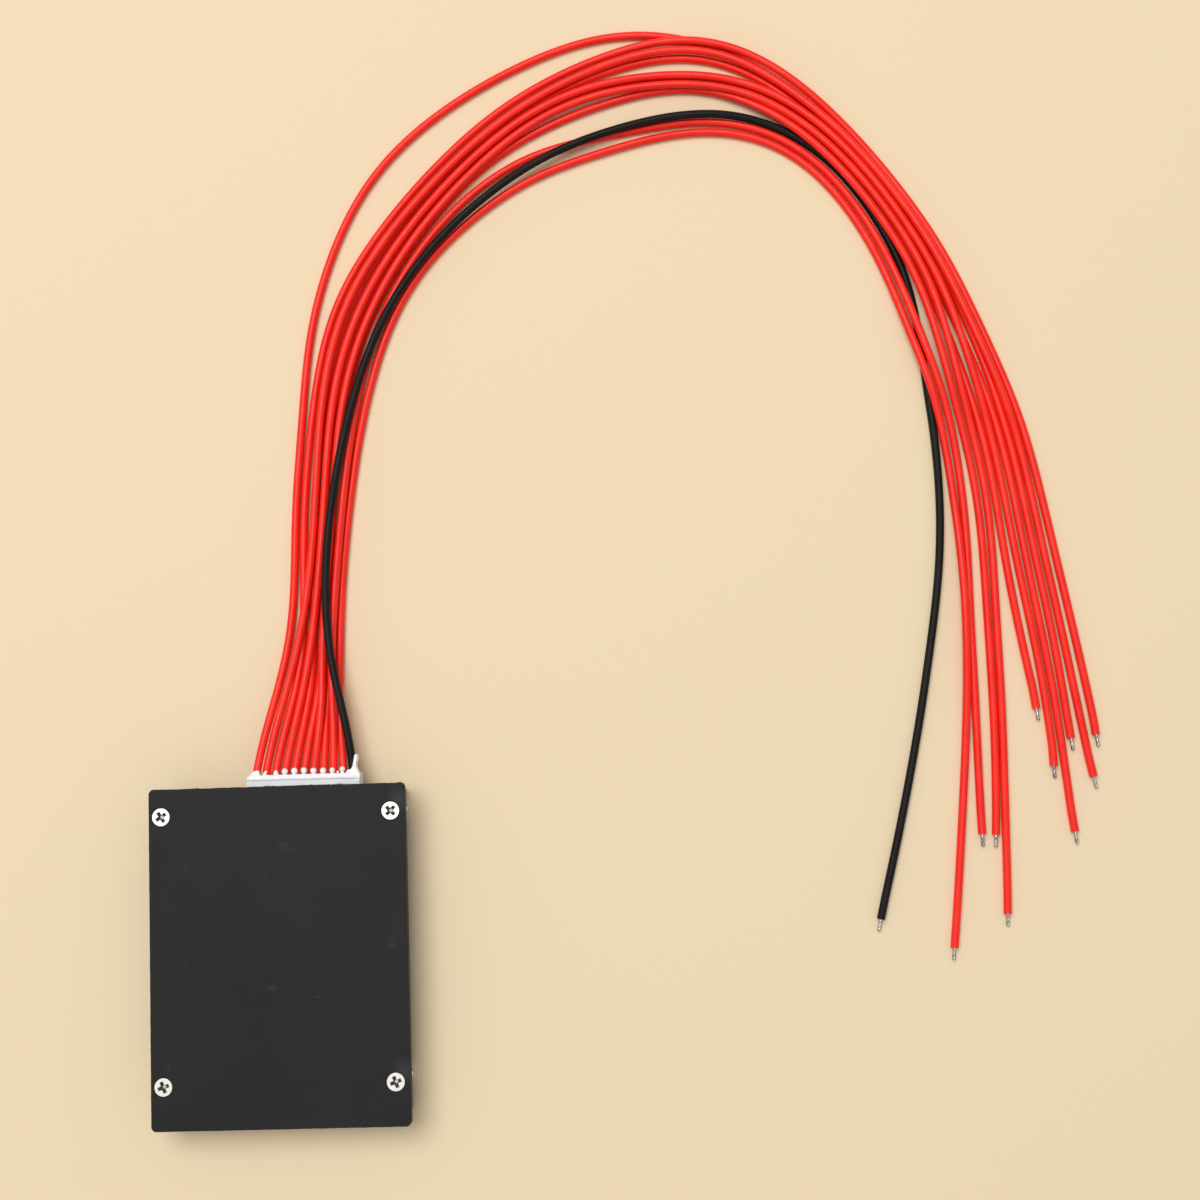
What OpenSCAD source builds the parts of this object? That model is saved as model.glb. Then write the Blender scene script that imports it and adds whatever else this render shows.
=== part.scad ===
// Battery management board: a black cooling cover screwed over a circuit board, with a row of
// sense wires plugged in at the far edge. Millimetres; the board stands on its four nuts at z = 0,
// centred on the origin, with the wire socket at the +Y edge.

/* [Cover] */
// Width of the cooling cover, along X
cover_w = 53; // [48:0.5:60]
// Length of the cooling cover, along Y
cover_h = 69; // [65:0.5:78]
// Thickness of the cooling cover
cover_t = 2; // [1.6:0.1:3]
// Radius of the cover's corners
cover_r = 1.2; // [0.6:0.1:1.6]
// Height of the room between the board and the cover, which is the spacer sleeves' length
room_h = 5; // [5:0.1:6]

/* [Board] */
// How far the board's edge lies inside the cover's, all round
board_inset = 1; // [0.5:0.1:1.4]
// Thickness of the circuit board
board_t = 1.6; // [1.2:0.2:2]
// Radius of the board's corners
board_r = 1; // [0.5:0.1:1.5]

/* [Screws] */
// Distance from the cover's left edge to the screws near it
screw_left = 2.6; // [2.5:0.1:3.2]
// Distance from the cover's right edge to the screws near it
screw_right = 3; // [2.5:0.1:3.2]
// Distance from the cover's edge over the socket to the screws near it
screw_far = 5.7; // [3:0.1:7]
// Distance from the cover's opposite edge to the screws near it
screw_near = 8.9; // [3:0.1:10]
// Screw thread diameter
screw_d = 2; // [1.8:0.1:2]
// Screw head diameter
head_d = 3.8; // [3.6:0.1:4.2]
// Height of the straight edge of the screw head
head_land = 0.2; // [0.1:0.05:0.3]
// Overall screw length, head included
screw_l = 10; // [9.8:0.1:10]
// Length of the cross recess from tip to tip
recess_l = 2.3; // [2:0.1:2.5]
// Width of each arm of the cross recess
recess_w = 0.5; // [0.4:0.1:0.7]
// Depth of the cross recess
recess_deep = 0.8; // [0.5:0.1:0.9]
// Outer diameter of the spacer sleeves
sleeve_d = 3.6; // [3.2:0.1:4]
// Nut size across its flats
nut_flats = 4; // [3.8:0.1:4.2]
// Nut height
nut_t = 1.6; // [1.4:0.1:1.6]
// Room round the screw in the board, the sleeves and the cover, on the diameter
screw_clear = 0.2; // [0.1:0.05:0.3]
// Room round the straight edge of the screw head, on the diameter
head_clear = 0.1; // [0.05:0.05:0.2]

/* [Wire socket] */
// Number of wires
wires = 11; // [11:1:11]
// Spacing of the wires in the socket
pitch = 2; // [2:0.05:2.1]
// Middle of the socket along X
socket_x = 5.1; // [3:0.1:6]
// How far the socket is longer than the row of wires, on each side
socket_end = 1.95; // [1.8:0.05:2.1]
// Depth of the socket from its mouth to its back
socket_deep = 7.6; // [7.4:0.1:8]
// Height of the socket
socket_h = 4.8; // [4.6:0.1:4.9]
// Thickness of the socket's long walls
socket_wall = 0.7; // [0.6:0.05:0.8]
// Thickness of the socket's back wall
socket_back = 1.2; // [1:0.1:1.4]
// Thickness of the socket's end walls
socket_side = 0.9; // [0.7:0.05:1]
// Width of the two key slots in the socket's upper wall
key_w = 1.2; // [0.8:0.1:1.6]
// Length of the key slots
key_l = 3; // [2:0.1:4]
// Distance of each key slot from the socket's middle, as a share of the row of wires
key_share = 0.38; // [0.2:0.01:0.45]
// Side of the square socket pins
pin_w = 0.5; // [0.4:0.05:0.6]
// Length of the socket pins under the board
pin_below = 1.1; // [0.6:0.1:1.2]
// How far the pins' points lie inside the socket's mouth
pin_short = 1.6; // [1.2:0.1:2]
// Distance from the socket's back to the middle of the pins' legs
pin_back = 0.95; // [0.8:0.05:1.2]
// Diameter of the holes in the board for the pins' legs
leg_hole = 0.9; // [0.8:0.05:1]
// Diameter of the solder round a leg, at the board
fillet_d = 1.5; // [1.3:0.05:1.6]
// Height of the solder round a leg
fillet_h = 0.7; // [0.5:0.05:0.8]

/* [Plug and adhesive] */
// Room round the plug in the socket, on each side
plug_clear = 0.1; // [0.05:0.05:0.15]
// Room between the plug's end and the socket's back wall
plug_gap = 0.5; // [0.3:0.1:0.8]
// How far the plug stands out of the socket
plug_out = 1.9; // [1.6:0.1:2.4]
// Height of the plug's outer part
plug_h = 4.4; // [4:0.1:4.6]
// How far the plug's outer part is shorter than the socket, on each side
plug_inside = 0.2; // [0.1:0.05:0.4]
// Width of each contact's cavity in the plug
cell_w = 1.1; // [1:0.05:1.2]
// Height of each contact's cavity in the plug
cell_h = 1.5; // [1.3:0.05:1.6]
// How far the contacts lie inside the plug's end
contact_in = 0.3; // [0.2:0.05:0.4]
// Room round each wire in the adhesive, on the radius
glue_clear = 0.05; // [0.02:0.01:0.08]
// How far the adhesive stands out behind the plug
glue_out = 0.3; // [0.2:0.05:0.6]
// How far the adhesive reaches down behind the plug, from the middle of the wires
glue_deep = 1.5; // [1.2:0.1:1.9]
// How far the adhesive laps over the top of the plug
glue_lap = 0.75; // [0.5:0.05:1.2]
// Thickness of the adhesive on the plug
lap_t = 0.25; // [0.15:0.05:0.35]
// How far the adhesive is longer than the row of wires, on each side
glue_end = 1.9; // [1.6:0.1:2]
// Radius of the adhesive drop on each wire
drop_r = 0.62; // [0.5:0.02:0.7]
// How far the drops lie behind the bead
drop_out = 0.7; // [0.5:0.05:0.8]
// Radius of the adhesive strand between the bead and a drop
strand_r = 0.3; // [0.2:0.05:0.4]
// Radius of the thicker strands on the first three wires
thick_strand_r = 0.5; // [0.4:0.05:0.6]
// Width of the torn tail of adhesive beside the last wire
tail_w = 1.9; // [1.6:0.1:2.2]
// Length of the torn tail, from the plug
tail_l = 4.2; // [3.5:0.1:5]
// Thickness of the torn tail
tail_t = 1.7; // [1.2:0.1:1.8]

/* [Sense wires] */
// Diameter of each insulated wire
wire_d = 1.7; // [1.4:0.05:1.7]
// Diameter of the tinned wire ends
tip_d = 0.7; // [0.5:0.05:0.8]
// Length of the tinned wire ends
tip_l = 2.5; // [2:0.1:4]
// Length of the straight stretch of each wire behind the plug
straight_l = 2.4; // [2.2:0.1:2.6]

/* [Power transistors] */
// Width of each power transistor body
body_w = 10; // [9:0.1:10.4]
// Length of each power transistor body
body_l = 8.7; // [8.4:0.1:9]
// Height of each power transistor body
body_h = 4.4; // [4.2:0.1:4.4]
// Spacing of the power transistors along X
body_step = 13; // [12.4:0.1:13.4]
// Length of each transistor tab beyond its body
tab_l = 1.3; // [1:0.1:1.6]
// Thickness of the transistor tabs
tab_t = 1.3; // [1.2:0.05:1.4]
// Length of the transistor leads beyond the body
lead_l = 4.6; // [4:0.1:5]
// Width of the transistor leads
lead_w = 0.9; // [0.7:0.1:1]
// Thickness of the transistor leads
lead_t = 0.5; // [0.4:0.05:0.6]
// Height at which the leads leave the body
lead_z = 1.9; // [1.6:0.1:2.2]
// Length of the leads' feet on the board
lead_foot = 2.2; // [1.8:0.1:2.6]
// Spacing of a transistor's two leads
lead_step = 5.08; // [4.8:0.04:5.2]
// Distance from the board's edge to the middle of the row of transistors near it
near_row_edge = 11.1; // [10.5:0.1:12]

/* [Small parts] */
// Length of the current shunts
shunt_l = 6.4; // [6:0.1:6.6]
// Width of the current shunts
shunt_w = 3.2; // [3:0.1:3.4]
// Height of the current shunts
shunt_h = 0.7; // [0.6:0.05:0.9]
// Gap between the current shunts
shunt_gap = 1.6; // [1:0.1:2.4]
// Length of the bleed resistors
bleed_l = 3.2; // [3:0.1:3.2]
// Width of the bleed resistors
bleed_w = 1.6; // [1.4:0.1:1.7]
// Height of the bleed resistors
bleed_h = 0.6; // [0.5:0.05:0.7]
// Spacing of the bleed resistors and of the ceramic capacitors
bleed_step = 2.4; // [2.2:0.1:2.6]
// Length of the ceramic capacitors
cap_l = 2; // [1.8:0.1:2]
// Width of the ceramic capacitors
cap_w = 1.2; // [1:0.1:1.25]
// Height of the ceramic capacitors
cap_h = 0.8; // [0.7:0.05:1]
// Width of the bleed transistors
fet_w = 2.9; // [2.8:0.05:3]
// Length of the bleed transistors' bodies
fet_l = 1.3; // [1.2:0.05:1.4]
// Height of the bleed transistors' bodies
fet_h = 1; // [0.9:0.05:1.1]
// Height of the bleed transistors and the monitor chip above the board
standoff = 0.1; // [0.05:0.05:0.2]
// Length of the bleed transistors' leads
fet_lead = 0.6; // [0.5:0.05:0.6]
// Width of the bleed transistors' leads
fet_lead_w = 0.4; // [0.3:0.05:0.5]
// Length of the bleed transistors' feet on the board
fet_foot = 0.35; // [0.25:0.05:0.4]
// Thickness of the bleed transistors' and the monitor chip's leads
thin_lead_t = 0.12; // [0.1:0.01:0.16]
// Spacing of the bleed transistors
fet_step = 3.6; // [3.3:0.1:3.8]
// Length of the monitor chip
chip_l = 8; // [7.6:0.1:8.4]
// Width of the monitor chip
chip_w = 4.4; // [4:0.1:4.6]
// Height of the monitor chip
chip_h = 1; // [0.9:0.05:1.2]
// Length of the monitor chip's leads
chip_lead = 1; // [0.8:0.05:1]
// Width of the monitor chip's leads
chip_lead_w = 0.25; // [0.2:0.01:0.3]
// Length of the monitor chip's feet on the board
chip_foot = 0.5; // [0.4:0.05:0.6]
// Spacing of the monitor chip's leads
chip_pitch = 0.65; // [0.5:0.01:0.66]
// Number of leads on each side of the monitor chip
chip_pins = 12; // [8:2:12]
// Distance from the socket's end to the middle of the monitor chip
chip_side = 8.3; // [7:0.1:9]
// Distance from the cover's edge over the socket to the middle of the monitor chip
chip_back = 9.9; // [9:0.1:11]
// Thickness of the solder on the underside
solder_t = 0.3; // [0.2:0.05:0.4]
// Width of the three soldering lands for the power cables
land_w = 8; // [6:0.5:10]
// Length of the three soldering lands
land_l = 5; // [4:0.5:6]
// Spacing of the three soldering lands
land_step = 15; // [13:0.5:15]
// Distance from the board's edge to the middle of the soldering lands
land_edge = 3; // [2.8:0.1:5]
// Width of the solder-covered power tracks
track_w = 4; // [3:0.5:5]
// Length of the power tracks from the middle of the lands
track_l = 24; // [12:1:26]

/* [Hidden] */
$fn = 48;
cell_n = wires - 1;                       // one bleed channel for each cell
board_z = nut_t;                          // underside of the board
top_z = board_z + board_t;                // top of the board
cover_z = top_z + room_h;                 // underside of the cover
cover_top = cover_z + cover_t;
plug_z = top_z + socket_h / 2;            // middle of the plug and height of the wires in it
board_w = cover_w - 2 * board_inset;
board_h = cover_h - 2 * board_inset;
mouth_y = cover_h / 2;                    // the socket's mouth is flush with the cover's edge
exit_y = mouth_y + plug_out;              // where the wires leave the plug
row_w = pitch * (wires - 1);              // width of the row of wires
socket_w = row_w + 2 * socket_end;
room_w = socket_w - 2 * socket_side;      // the socket's cavity
plug_w = room_w - 2 * plug_clear;         // the part of the plug in the socket
plug_in = socket_deep - socket_back - plug_gap;
pin_y = mouth_y - socket_deep - pin_back; // middle of the pins' legs
head_cone = (head_d - screw_d) / 2;       // a right-angled countersunk head
screw_x = [screw_left - cover_w / 2, cover_w / 2 - screw_right];
screw_y = [cover_h / 2 - screw_far, screw_near - cover_h / 2];
screw_at = [for (y = screw_y) for (x = screw_x) [x, y]];
screw_turn = [32, 12, 40, 28];            // how far each screw was turned when tight
eps = 0.01;

near_row_y = near_row_edge - board_h / 2; // the row of power transistors next to the soldering lands
leads_end_y = near_row_y + body_l / 2 + lead_l;
fet_deep = fet_l + 2 * fet_lead;
used_y = lead_l + body_l + tab_l + shunt_w + cap_l + fet_deep + bleed_l;
row_gap = (pin_y - pin_w / 2 - leads_end_y - used_y) / 6;  // the rows of parts share what is left
far_row_y = leads_end_y + row_gap + lead_l + body_l / 2;
shunt_y = far_row_y + body_l / 2 + tab_l + row_gap + shunt_w / 2;
cap_y = shunt_y + shunt_w / 2 + row_gap + cap_l / 2;
bleed_fet_y = cap_y + cap_l / 2 + row_gap + fet_deep / 2;
bleed_y = bleed_fet_y + fet_deep / 2 + row_gap + bleed_l / 2;
chip_at = [socket_x - socket_w / 2 - chip_side, mouth_y - chip_back];
land_y = land_edge - board_h / 2;

wire_r = wire_d / 2;
wire_sides = 8;
ring_steps = 2;                           // tube rings for each stretch between two route points

// Each wire's route from the plug to the end of its insulation. A point is [x, y, layer]: x and y from
// the place where the middle wire leaves the plug, and the layer that the wire lies in, 0 on the table.
routes = [
    [[-9, 7.6, 2.4], [-6.6, 16, 1.2], [-4.6, 24.4, 0.4], [-3, 31.8, 0], [-2.6, 40.2, 0],
     [-2.4, 52, 0], [-1.8, 62.8, 0], [-0.4, 73.6, 0], [0.4, 84.4, 0], [1.8, 96.4, 0],
     [4.8, 106.2, 0], [10, 119.4, 0], [17.2, 130.4, 0], [26.6, 139, 0], [39.2, 147.2, 0],
     [51.8, 153, 0], [63.8, 157, 0], [74.8, 157.8, 0], [80.8, 156.8, 0], [86.6, 155.4, 0],
     [95.2, 152, 0], [107.2, 143.6, 0], [119.2, 131, 0], [134.6, 108.4, 0], [141.6, 91.8, 0],
     [145.6, 80.8, 0], [147.6, 74.2, 0], [149.2, 67.8, 0], [151.6, 55, 0], [153, 44.4, 0],
     [155.2, 31.6, 0], [156.8, 22.2, 0], [157.8, 12.8, 0], [159, 2.8, 0]],
    [[-7, 7.6, 2.4], [-4.8, 15.8, 1.4], [-2.4, 24.2, 1.1], [-0.6, 31.6, 1.1], [0.8, 40, 1.05],
     [2, 51.6, 1], [2.8, 62.4, 1], [3.4, 73, 1], [5, 83.8, 1], [7.8, 95.8, 1], [12.4, 105.4, 1],
     [23.8, 120.6, 1], [37, 133.4, 1], [45.6, 140.4, 1], [55.4, 145.6, 1], [65.8, 150.2, 1],
     [75.6, 152.6, 1], [80.6, 153.6, 1.05], [86.4, 153.4, 1.05], [95.4, 150.8, 1.1],
     [106.8, 142.6, 1.05], [119.4, 130.8, 1], [135, 108.2, 1], [142.2, 91.2, 1], [146.6, 80.4, 1],
     [149, 74, 0.8], [151, 67.8, 0], [153.4, 54.8, 0], [155, 44.2, 0], [157.2, 31.6, 0],
     [158.8, 22.2, 0], [160.2, 12.8, 0], [161.6, 3.4, 0], [163.2, -5.2, 0]],
    [[-5, 7.4, 2.4], [-2.8, 15.8, 1.2], [-0.8, 24.2, 0.3], [-0.8, 31.6, 0], [-0.6, 40.2, 0],
     [-0.6, 52, 0], [0.2, 62.8, 0], [1.4, 73.4, 0], [3, 84.2, 0], [5.6, 96.2, 0], [10, 106, 0],
     [22.4, 122.6, 0], [35.6, 135.6, 0], [44.6, 142.8, 0], [54.4, 148, 0], [65.2, 152.6, 0.1],
     [75.4, 154.8, 0.6], [80.8, 155.6, 1.05], [86.6, 155.4, 1.05], [96, 153, 1.05],
     [108.2, 144.4, 1], [120.6, 132.2, 0], [136.4, 109.2, 0], [144, 91.6, 0], [148.4, 80.6, 0],
     [151, 74.2, 0], [152.8, 67.6, 0], [155.4, 54.8, 0], [157.2, 44.2, 0], [159.6, 31.6, 0],
     [161.2, 22, 0], [162.8, 13.6, 0], [164.2, 3.4, 0]],
    [[-3, 7.4, 2.4], [-1, 15.8, 1.5], [0.8, 24, 1.3], [1.6, 31.4, 1.1], [2.8, 40, 1.05],
     [3.8, 51.6, 1.05], [4.8, 62.2, 1], [5.6, 73, 1], [7.2, 83.8, 1], [11, 95.6, 1],
     [15.8, 105.2, 1], [25.6, 118.8, 1], [38.4, 131.6, 1], [47, 138.4, 1], [56.6, 143.6, 1],
     [66.8, 146.8, 1], [76.2, 147.2, 1], [85.6, 147.6, 1], [96, 145.8, 1], [105.4, 141, 1.05],
     [118.2, 129.6, 1], [133.2, 107.2, 1], [139.6, 91.4, 1], [141.8, 80.6, 1], [144.2, 74.2, 0.7],
     [145.6, 68, 0], [147.8, 55, 0], [149, 44.4, 0], [151.2, 31.8, 0], [152.6, 22.4, 0],
     [153.8, 15, 0], [154.8, 6.6, 0], [155.2, -2.8, 0]],
    [[-1.2, 7.4, 2.4], [0.6, 15.6, 0.9], [1.4, 24.2, 0.3], [1.2, 31.6, 0], [1.4, 40.2, 0],
     [1.4, 52, 0], [2.4, 62.6, 0], [3.6, 73.4, 0], [5.6, 84.2, 0], [8.4, 96, 0], [13.4, 105.8, 0],
     [24.2, 120.4, 0], [37.4, 133.2, 0], [46.2, 140.2, 0], [56, 145.2, 0], [66.2, 149.2, 0],
     [75.8, 151.6, 0], [86, 152.4, 0], [94.6, 149.6, 0], [106, 142.2, 0], [117.8, 129.8, 0],
     [133, 107.4, 0], [139, 91.8, 0], [143.6, 80.8, 0], [145.8, 74.4, 0], [147.4, 67.8, 0],
     [149.8, 55, 0], [151, 44.4, 0], [153.2, 31.8, 0], [154.4, 22.2, 0], [155.8, 15, 0],
     [156.8, 4.6, 0], [157.8, -7.8, 0], [158.8, -16.4, 0]],
    [[0.6, 7.4, 2.4], [2.4, 15.6, 0.9], [3.4, 24, 0.3], [3.2, 31.6, 0], [3.2, 40, 0],
     [3.2, 51.8, 0], [4.2, 62.6, 0], [5.8, 73.4, 0], [8.2, 84, 0], [11.4, 96, 0],
     [16.8, 105.6, 0], [26, 118.6, 0], [38.6, 131.4, 0], [47.2, 138.4, 0], [57, 143.4, 0],
     [67, 146.6, 0], [76.2, 147, 0], [85.6, 147.4, 0], [96, 145.6, 0], [104.8, 140.6, 0],
     [116.4, 128.6, 0], [131.2, 106.6, 0], [136.6, 92, 0], [140.2, 81, 0], [142.4, 74.4, 0],
     [143.8, 68, 0], [146, 55.2, 0], [146.8, 44.6, 0], [148.6, 31.8, 0], [150, 22.4, 0],
     [151.4, 15, 0], [152.2, 9.2, 0]],
    [[2.6, 7.2, 2.8], [4, 15.6, 2], [3, 24, 1.4], [3.8, 31.4, 1.1], [4.6, 39.8, 1.05],
     [5.8, 51.6, 1.05], [6.6, 62.2, 1], [7.6, 73, 1], [9.6, 83.6, 1], [13.4, 95.4, 1],
     [18.6, 105, 1], [27, 117.2, 1], [39.6, 129.8, 1], [48, 136.6, 1], [57.6, 141.8, 1],
     [67.2, 144.6, 1], [76.4, 145.2, 1], [85.4, 145.6, 1], [95.8, 143.8, 1], [104.2, 139.2, 1.05],
     [116.8, 128.4, 1], [131.6, 106.4, 1], [137, 91.4, 1], [138.6, 80.6, 1], [140.4, 74.2, 0.8],
     [141.8, 68, 0], [144.2, 55.2, 0], [144.8, 44.6, 0], [144.8, 32, 0], [145, 22.6, 0],
     [145.2, 9, 0], [144.8, -7.4, 0], [144.6, -21.8, 0], [144.2, -32.8, 0]],
    [[4.2, 7.2, 2.1], [4.2, 15.6, 0.8], [5.2, 24, 0.2], [5, 31.4, 0], [5.2, 40, 0],
     [5.2, 51.8, 0], [6.4, 62.4, 0], [7.8, 73.2, 0], [10.2, 84, 0], [13.6, 95.8, 0],
     [19.2, 105.6, 0], [27.2, 117.2, 0], [39.8, 129.8, 0], [48.8, 135.6, 0], [58.8, 140, 0],
     [68, 142.6, 0], [76.6, 144.8, 0], [85.4, 145.4, 0], [95.6, 142.6, 0.2], [103, 137.8, 1],
     [115.4, 127.2, 1], [129.8, 105.4, 1], [134.6, 91.6, 1], [136.6, 80.8, 1], [138.6, 74.4, 0.8],
     [139.8, 68.2, 0], [142.2, 55.4, 0], [142.8, 44.8, 0], [143, 32, 0], [143.2, 22.6, 0],
     [143.4, 9, 0], [143.2, -5.4, 0], [142.6, -16.6, 0]],
    [[6.2, 7.2, 2.7], [5.8, 15.4, 1.9], [5, 24, 1.3], [5.8, 31.4, 1.1], [6.4, 39.8, 1.05],
     [7.6, 51.4, 1], [8.8, 62.2, 1], [10.4, 73, 0.7], [12.6, 84, 0], [16, 95.8, 0],
     [21.4, 105.4, 0], [28.6, 115.8, 0], [41.6, 127.2, 0], [51, 132, 0], [61.4, 134.8, 0],
     [70.2, 134.6, 0], [77.4, 137.4, 0], [86.6, 137.8, 0], [95.2, 137, 0], [100.6, 135.2, 0],
     [113.8, 126, 0], [127, 104.2, 0.3], [130.2, 92, 1.15], [134.6, 81, 1.05],
     [136.8, 74.4, 0.7], [137.8, 68.2, 0], [139, 55.4, 0], [139.8, 44.8, 0], [139.4, 32.2, 0],
     [139.6, 22.8, 0], [139.8, 11.2, 0], [139.6, -3.2, 0], [139.8, -16.4, 0]],
    [[7.8, 7, 2.1], [6.4, 15.6, 0.8], [7, 24, 0.1], [7, 31.4, 0], [7.4, 40, 0], [8.8, 51.6, 0],
     [10.2, 62.4, 0], [12, 73, 0], [14.8, 83.8, 0], [18.6, 95.6, 0], [24.2, 105.4, 0],
     [31, 113.2, 0], [44.4, 123.4, 0], [53.2, 128.4, 0], [63.6, 130.6, 0], [70.6, 132.8, 0],
     [77.6, 134.8, 0], [86.6, 135.6, 0], [94.8, 134.8, 0], [99.4, 133.8, 0], [112.4, 124.8, 0],
     [125.4, 103.4, 0], [128.2, 92, 0.55], [132.6, 81, 1.05], [134.6, 74.6, 0.8], [135.8, 68.4, 0],
     [137, 55.4, 0], [138, 44.8, 0.6], [138.4, 32, 1.05], [138.2, 22.8, 1], [138, 11.4, 0.3],
     [137, -1, 0], [136.2, -9.2, 0], [134.6, -25.6, 0], [133, -39.4, 0]],
    [[9.6, 7, 2.8], [7.6, 15.4, 2.9], [5.4, 23.8, 2.4], [4.6, 31.2, 2.2], [4.6, 39.6, 2.1],
     [5.4, 51.4, 2.1], [7, 62, 2.1], [9.4, 72.6, 1.9], [12.2, 83.6, 1.1], [16.6, 95.2, 1.1],
     [22.8, 104.8, 1.1], [30, 113.8, 1.1], [43.2, 124.6, 1.1], [52, 130.2, 1.1],
     [61.4, 134.2, 1.1], [69.8, 135.8, 1], [77.2, 138.4, 1], [86.6, 138.8, 1], [95.2, 138.2, 1],
     [101.6, 136.6, 0.2], [115.2, 127.4, 0], [128.6, 105.2, 0], [131.4, 92.2, 0], [132, 81.4, 0],
     [133.2, 74.8, 0], [134, 68.4, 0], [134.4, 55.6, 0], [134.2, 45, 0], [132.8, 32.4, 0],
     [130.8, 23, 0], [129, 11.6, 0], [126.2, -0.8, 0], [122.4, -17.2, 0], [120.2, -25.2, 0],
     [118.2, -33.2, 0]],
];

red = [0.85, 0.1, 0.06];
black = [0.08, 0.08, 0.08];
white = [0.92, 0.92, 0.9];
tin = [0.78, 0.79, 0.8];
brass = [0.8, 0.68, 0.38];

function wire_x(i) = socket_x + (i - (wires - 1) / 2) * pitch;

// ---- routes of the wires ----

function on_table(p) = [socket_x + p[0], exit_y + p[1], wire_r + p[2] * wire_d];

function route(i) = concat(
    [[wire_x(i), exit_y, plug_z], [wire_x(i), exit_y + straight_l, plug_z]],
    [for (p = routes[i]) on_table(p)]);

function blend(a, b, c, d, t) =
    (2 * b + (c - a) * t + (2 * a - 5 * b + 4 * c - d) * t * t + (3 * b - a - 3 * c + d) * t * t * t) / 2;

function above(p) = [p[0], p[1], max(p[2], wire_r)];

function smooth(p, last) = concat(
    [for (i = [0 : last - 1]) for (k = [0 : i == 0 ? 0 : ring_steps - 1])
        above(blend(p[max(i - 1, 0)], p[i], p[i + 1], p[min(i + 2, last)], k / ring_steps))],
    [p[last]]);

function unit(v) = v / norm(v);

function heading(p, i) = unit(p[min(i + 1, len(p) - 1)] - p[max(i - 1, 0)]);

// One ring of the tube, with flats at the sides and underneath, where the wires touch.
function ring(p, i) =
    let (t = heading(p, i), s = unit(cross(t, [0, 0, 1])), u = cross(s, t))
    [for (k = [0 : wire_sides - 1])
        let (a = (k + 0.5) * 360 / wire_sides)
        p[i] + wire_r * (cos(a) * s + sin(a) * u)];

function wire_line(i) = let (p = route(i)) smooth(p, len(p) - 1);

module tube(p) {
    n = wire_sides;
    rings = len(p);
    points = [for (i = [0 : rings - 1]) each ring(p, i)];
    sides = [for (i = [0 : rings - 2]) for (k = [0 : n - 1])
        let (a = i * n + k, b = i * n + (k + 1) % n)
        each [[a, b, a + n], [b, b + n, a + n]]];
    first_end = [for (k = [n - 1 : -1 : 0]) k];
    last_end = [for (k = [0 : n - 1]) (rings - 1) * n + k];
    polyhedron(points, concat(sides, [first_end, last_end]));
}

module sense_wire(i) {
    color(i == wires - 1 ? black : red)
        tube(wire_line(i));
}

module wire_tip(i) {
    p = wire_line(i);
    t = heading(p, len(p) - 1);
    color(tin)
        translate(p[len(p) - 1])
            rotate([0, acos(t[2]), atan2(t[1], t[0])])
                cylinder(d = tip_d, h = tip_l, $fn = 24);
}

// ---- shared shapes ----

module box_at(x, y, z, size) {
    translate([x - size[0] / 2, y - size[1] / 2, z])
        cube(size);
}

// A plate with round corners, centred on the origin.
module round_plate(w, h, r, t) {
    linear_extrude(t)
        union() {
            square([w - 2 * r, h], center = true);
            square([w, h - 2 * r], center = true);
            for (sx = [-1, 1]) for (sy = [-1, 1])
                translate([sx * (w / 2 - r), sy * (h / 2 - r)])
                    circle(r);
        }
}

module at_screws() {
    for (p = screw_at)
        translate(p)
            children();
}

// ---- board, cover and what holds them ----

module circuit_board() {
    color([0.06, 0.07, 0.07])
        difference() {
            translate([0, 0, board_z])
                round_plate(board_w, board_h, board_r, board_t);
            translate([0, 0, board_z - eps])
                at_screws()
                    cylinder(d = screw_d + screw_clear, h = board_t + 2 * eps);
            for (i = [0 : wires - 1])
                translate([wire_x(i), pin_y, board_z - eps])
                    cylinder(d = leg_hole, h = board_t + 2 * eps, $fn = 24);
        }
}

module cover_plate() {
    hole_d = screw_d + screw_clear;
    cone_h = (head_d - hole_d) / 2;
    color(black)
        difference() {
            translate([0, 0, cover_z])
                round_plate(cover_w, cover_h, cover_r, cover_t);
            at_screws() {
                translate([0, 0, cover_z - eps])
                    cylinder(d = hole_d, h = cover_t);
                translate([0, 0, cover_top - head_land - cone_h])
                    cylinder(d1 = hole_d, d2 = head_d, h = cone_h);
                translate([0, 0, cover_top - head_land])
                    cylinder(d = head_d + head_clear, h = head_land + eps);
            }
        }
}

module countersunk_screw(turn) {
    difference() {
        union() {
            translate([0, 0, -screw_l])
                cylinder(d = screw_d, h = screw_l - head_land);
            translate([0, 0, -head_land - head_cone])
                cylinder(d1 = screw_d, d2 = head_d, h = head_cone);
            translate([0, 0, -head_land])
                cylinder(d = head_d, h = head_land);
        }
        for (a = [0, 90])
            rotate(turn + a)
                translate([-recess_l / 2, -recess_w / 2, -recess_deep])
                    cube([recess_l, recess_w, recess_deep + eps]);
    }
}

module cover_screws() {
    color(tin)
        for (i = [0 : len(screw_at) - 1])
            translate([screw_at[i][0], screw_at[i][1], cover_top])
                countersunk_screw(screw_turn[i]);
}

module spacer_sleeves() {
    color(brass)
        translate([0, 0, top_z])
            at_screws()
                difference() {
                    cylinder(d = sleeve_d, h = room_h);
                    translate([0, 0, -eps])
                        cylinder(d = screw_d + screw_clear, h = room_h + 2 * eps);
                }
}

module screw_nuts() {
    color(tin)
        at_screws()
            difference() {
                cylinder(d = nut_flats / cos(30), h = nut_t, $fn = 6);
                translate([0, 0, -eps])
                    cylinder(d = screw_d, h = nut_t + 2 * eps);
            }
}

// ---- power transistors and their cooling ----

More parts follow.
